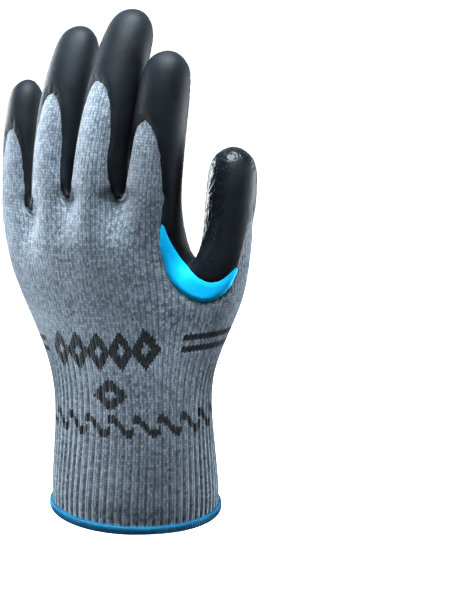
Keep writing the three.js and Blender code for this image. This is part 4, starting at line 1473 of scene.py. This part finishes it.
@dataclass
class CuffBinding:
    """The overlocked edge of the cuff: a band folded round the knit's edge, and its thread loops.

    stitches is the number of loops round the cuff, and slant their lean in degrees.
    """

    envelope: Envelope
    finish: OverlockThread
    wall: float = 0.75 * MM
    height: float = 2.9 * MM
    fold: float = 0.4 * MM
    bottom: float = -1.0 * MM
    stitches: int = 190
    thread: float = 0.36 * MM
    corner: float = 1.1 * MM
    slant: float = 14.0

    @property
    def span(self) -> tuple[float, float]:
        """Where the band ends outwards and inwards, from the knit's outer face."""
        return WALLS.gap + self.wall, -(WALLS.liner + WALLS.gap + self.wall)

    def rim(self) -> tuple[np.ndarray, np.ndarray]:
        """The knit's edge in order round the cuff, on its outer face, and outward directions."""
        e = self.envelope
        order = e.rim_order()
        out = e.normals[order].copy()
        out[:, 2] = 0
        out = unit(out)
        edge = e.points[order] + out * WALLS.liner_outer
        edge[:, 2] = 0
        return edge, out

    def band(self) -> bpy.types.Object:
        """The folded band, as one closed section swept round the cuff."""
        edge, out = self.rim()
        front, back = self.span
        middle, half = (front + back) / 2, (front - back) / 2
        path = [(front, self.height - 0.5 * MM), (front, self.fold)]
        path += [(middle + half * math.cos(t), self.fold + (self.fold - self.bottom) * math.sin(t))
                 for t in np.linspace(0, -math.pi, 9)[1:-1]]
        path += [(back, self.fold), (back, self.height - 0.5 * MM)]
        thick = self.wall * 0.85
        inside = [(back + thick, self.height), (back + thick, 0.1 * MM), (front - thick, 0.1 * MM),
                  (front - thick, self.height)]
        section = np.array(path + inside)
        count, size = len(edge), len(section)
        points = (edge[:, None, :] + out[:, None, :] * section[None, :, :1]
                  + np.array((0, 0, 1.0)) * section[None, :, 1:]).reshape(-1, 3)
        i, k = np.meshgrid(np.arange(count) * size, np.arange(size), indexing="ij")
        j, n = (i + size) % (count * size), (k + 1) % size
        faces = np.stack([i + k, i + n, j + n, j + k], axis=2).reshape(-1, 4)
        piece = mesh_piece("binding_band", points, faces.tolist(), {})
        piece.data.materials.append(self.finish.make())
        return piece

    def loops(self) -> bpy.types.Object:
        """The thread loops round the band, spread along the edge."""
        edge, out = self.rim()
        count = len(edge)
        mesh = bpy.data.meshes.new("binding_loops")
        mesh.from_pydata(edge.tolist(), [(i, (i + 1) % count) for i in range(count)], [])
        store(mesh, "out", out)
        piece = linked("binding_loops", mesh)
        front, back = self.span
        rule = GeometryRule("overlock_loops", {
            "Stitches": ("NodeSocketInt", self.stitches),
            "Thread": ("NodeSocketFloat", self.thread),
            "Width": ("NodeSocketFloat", front - back + 0.1 * MM),
            "Height": ("NodeSocketFloat", self.height - self.bottom),
            "Slant": ("NodeSocketFloat", math.radians(self.slant)),
        })
        pen = rule.pen
        curve = pen.add("GeometryNodeMeshToCurve", {}, {0: rule.given("Geometry")})
        spread = pen.add("GeometryNodeResampleCurve", {"mode": "COUNT"},
                         {"Curve": curve, "Count": rule.given("Stitches")})
        outline = pen.add("GeometryNodeCurvePrimitiveQuadrilateral", {"mode": "RECTANGLE"},
                          {"Width": rule.given("Width"), "Height": rule.given("Height")})
        soft = pen.add("GeometryNodeFilletCurve", {"mode": "POLY"},
                       {"Curve": outline, "Radius": self.corner, "Count": 3})
        profile = pen.add("GeometryNodeCurvePrimitiveCircle", {"mode": "RADIUS"},
                          {"Resolution": 6, "Radius": rule.given("Thread")})
        loop = pen.add("GeometryNodeCurveToMesh", {}, {"Curve": soft, "Profile Curve": profile})
        quarter = pen.vector(math.pi / 2, 0.0, 0.0)
        upright = pen.add("FunctionNodeEulerToRotation", {}, {0: quarter})
        middle = pen.vector((front + back) / 2, 0.0, (self.height + self.bottom) / 2)
        stood = pen.add("GeometryNodeTransform", {},
                        {"Geometry": loop, "Translation": middle, "Rotation": upright})
        turned = pen.add("FunctionNodeAlignRotationToVector", {"axis": "X", "pivot_axis": "Z"},
                         {"Vector": rule.attribute("out", "FLOAT_VECTOR")})
        lean = pen.vector(rule.given("Slant"), 0.0, 0.0)
        tilt = pen.add("FunctionNodeEulerToRotation", {}, {0: lean})
        both = pen.add("FunctionNodeRotateRotation", {"rotation_space": "LOCAL"},
                       {"Rotation": turned, "Rotate By": tilt})
        placed = pen.add("GeometryNodeInstanceOnPoints", {},
                         {"Points": spread, "Instance": stood, "Rotation": both})
        rule.bake(piece, placed, self.finish.make())
        piece.data.shade_smooth()
        return piece


@dataclass(frozen=True)
class Lamp:
    """A soft square light that faces the look point.

    azimuth runs from the camera's side towards the thumb's side and elevation up from the floor,
    both in degrees. away and size are in metres, power in watts.
    """

    name: str
    azimuth: float
    elevation: float
    away: float
    size: float
    power: float


@dataclass
class Studio:
    """The camera at the photograph's place, soft lights and a pale bowl behind and below.

    look is the point that lands on look_px in the picture, and focal_px the focal length in pixels.
    """

    look: tuple = (0.0, 0.0, 0.110)
    azimuth: float = 25.0
    elevation: float = 14.0
    distance: float = 0.650
    focal_px: float = 1430.0
    look_px: tuple = (131.5, 277.0)
    image: tuple = (457, 600)
    sensor: float = 36.0
    lamps: tuple[Lamp, ...] = (
        Lamp("left", -100, -8, 0.9, 0.7, 9.0),
        Lamp("left_back", -126, 0, 0.9, 0.7, 21.0),
        Lamp("right", 112, -8, 0.9, 0.7, 9.0),
        Lamp("right_low", 98, -24, 0.9, 0.6, 15.0),
        Lamp("top", 0, 84, 0.8, 0.5, 23.0),
        Lamp("behind", 178, 8, 1.1, 1.5, 5.0),
    )
    lamp_colour: tuple = (0.9, 0.96, 1.0)
    floor: float = -0.22
    floor_radius: float = 2.4
    turn_radius: float = 1.2
    wall_top: float = 4.0
    bowl_sides: int = 64
    turn_steps: int = 16
    world_colour: tuple = (0.88, 0.95, 1, 1)
    world_strength: float = 0.07
    gamma: float = 0.82
    exposure: float = 0.3

    def way(self, azimuth: float, elevation: float) -> Vector:
        """The direction from the look point at angles in degrees."""
        a, e = math.radians(azimuth), math.radians(elevation)
        return Vector((math.sin(a) * math.cos(e), -math.cos(a) * math.cos(e), math.sin(e)))

    def camera(self) -> None:
        """Sets the camera so that the look point lands on its place in the picture."""
        back = self.way(self.azimuth, self.elevation)
        data = bpy.data.cameras.new("camera")
        data.sensor_width = self.sensor
        data.lens = self.focal_px / max(self.image) * data.sensor_width
        data.clip_start, data.clip_end = 0.05, 20.0
        camera = linked("camera", data)
        camera.location = Vector(self.look) + back * self.distance
        across = (self.look_px[0] - self.image[0] / 2) / self.focal_px
        up = (self.image[1] / 2 - self.look_px[1]) / self.focal_px
        reach = math.sqrt(1 + across ** 2 + up ** 2)
        forward = -back
        for _ in range(8):
            right = forward.cross(Vector((0, 0, 1))).normalized()
            above = right.cross(forward)
            forward = (-back * reach - right * across - above * up).normalized()
        camera.rotation_mode = "QUATERNION"
        camera.rotation_quaternion = forward.to_track_quat("-Z", "Y")
        bpy.context.scene.camera = camera

    def light(self, lamp: Lamp) -> None:
        """Adds one lamp."""
        way = self.way(self.azimuth + lamp.azimuth, lamp.elevation)
        data = bpy.data.lights.new(lamp.name, "AREA")
        data.shape, data.size = "SQUARE", lamp.size
        data.energy, data.color = lamp.power, self.lamp_colour
        placed = linked(lamp.name, data)
        placed.location = Vector(self.look) + way * lamp.away
        placed.rotation_mode = "QUATERNION"
        placed.rotation_quaternion = way.to_track_quat("Z", "Y")

    def bowl(self) -> None:
        """Adds the pale floor, which turns up far away on all sides."""
        around, turn = self.bowl_sides, self.turn_radius
        profile = [(self.floor_radius, self.floor)]
        profile += [(self.floor_radius + turn * math.sin(t), self.floor + turn * (1 - math.cos(t)))
                    for t in np.linspace(0, math.pi / 2, self.turn_steps + 1)[1:]]
        profile.append((self.floor_radius + turn, self.wall_top))
        points = [(0.0, 0.0, self.floor)]
        for away, up in profile:
            points += [(away * math.cos(t), away * math.sin(t), up)
                       for t in np.arange(around) * 2 * math.pi / around]
        ring = [(k, (k + 1) % around) for k in range(around)]
        faces = [[0, 1 + i, 1 + j] for i, j in ring]
        for row in range(len(profile) - 1):
            low, high = 1 + row * around, 1 + (row + 1) * around
            faces += [[low + i, high + i, high + j, low + j] for i, j in ring]
        floor_piece = mesh_piece("studio_sweep", np.array(points), faces, {})
        material, _, _ = new_material("pale_sweep", {
            "Base Color": (0.85, 0.85, 0.85, 1), "Roughness": 0.9,
            "Emission Color": (1, 1, 1, 1), "Emission Strength": 0.9})
        floor_piece.visible_diffuse = False
        floor_piece.visible_glossy = False
        floor_piece.data.materials.append(material)

    def build(self) -> None:
        """Sets up camera, lights, world and sweep."""
        self.camera()
        self.bowl()
        world = bpy.data.worlds.new("studio")
        world.use_nodes = True
        background = world.node_tree.nodes["Background"]
        background.inputs["Color"].default_value = self.world_colour
        background.inputs["Strength"].default_value = self.world_strength
        scene = bpy.context.scene
        scene.world = world
        scene.view_settings.view_transform = "Standard"
        scene.view_settings.gamma = self.gamma
        scene.view_settings.exposure = self.exposure
        for lamp in self.lamps:
            self.light(lamp)


def main() -> None:
    """Builds the glove's pieces in order, then the studio."""
    logging.basicConfig(level=logging.INFO, format="%(message)s")
    Studio().build()
    envelope = Envelope()
    envelope.build()
    black = DippedLatex("black_latex", linear(16, 20, 24), linear(34, 41, 48), 0.55, 0.3, 0.22)
    blue = DippedLatex("blue_latex", linear(6, 182, 238), linear(24, 202, 250), 0.6, 0.6, 0.2)
    binding = CuffBinding(envelope, OverlockThread())
    pieces = [
        (KnitLiner(envelope, HeatherKnit()).build(), "knit_liner", "knit"),
        (LatexSkin("coat_skin", envelope, black, 0.36 * MM).build(), "latex_coat", "coat"),
        (Crescent("crescent_skin", envelope, blue, 0.0).build(), "crotch_guard", "guard"),
        (binding.band(), "cuff_binding", "hem"),
        (binding.loops(), "cuff_binding", "hem"),
    ]
    for piece, node, slot in pieces:
        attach(piece, "root")
        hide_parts(node)
        report(piece)


if __name__ == "__main__":
    main()
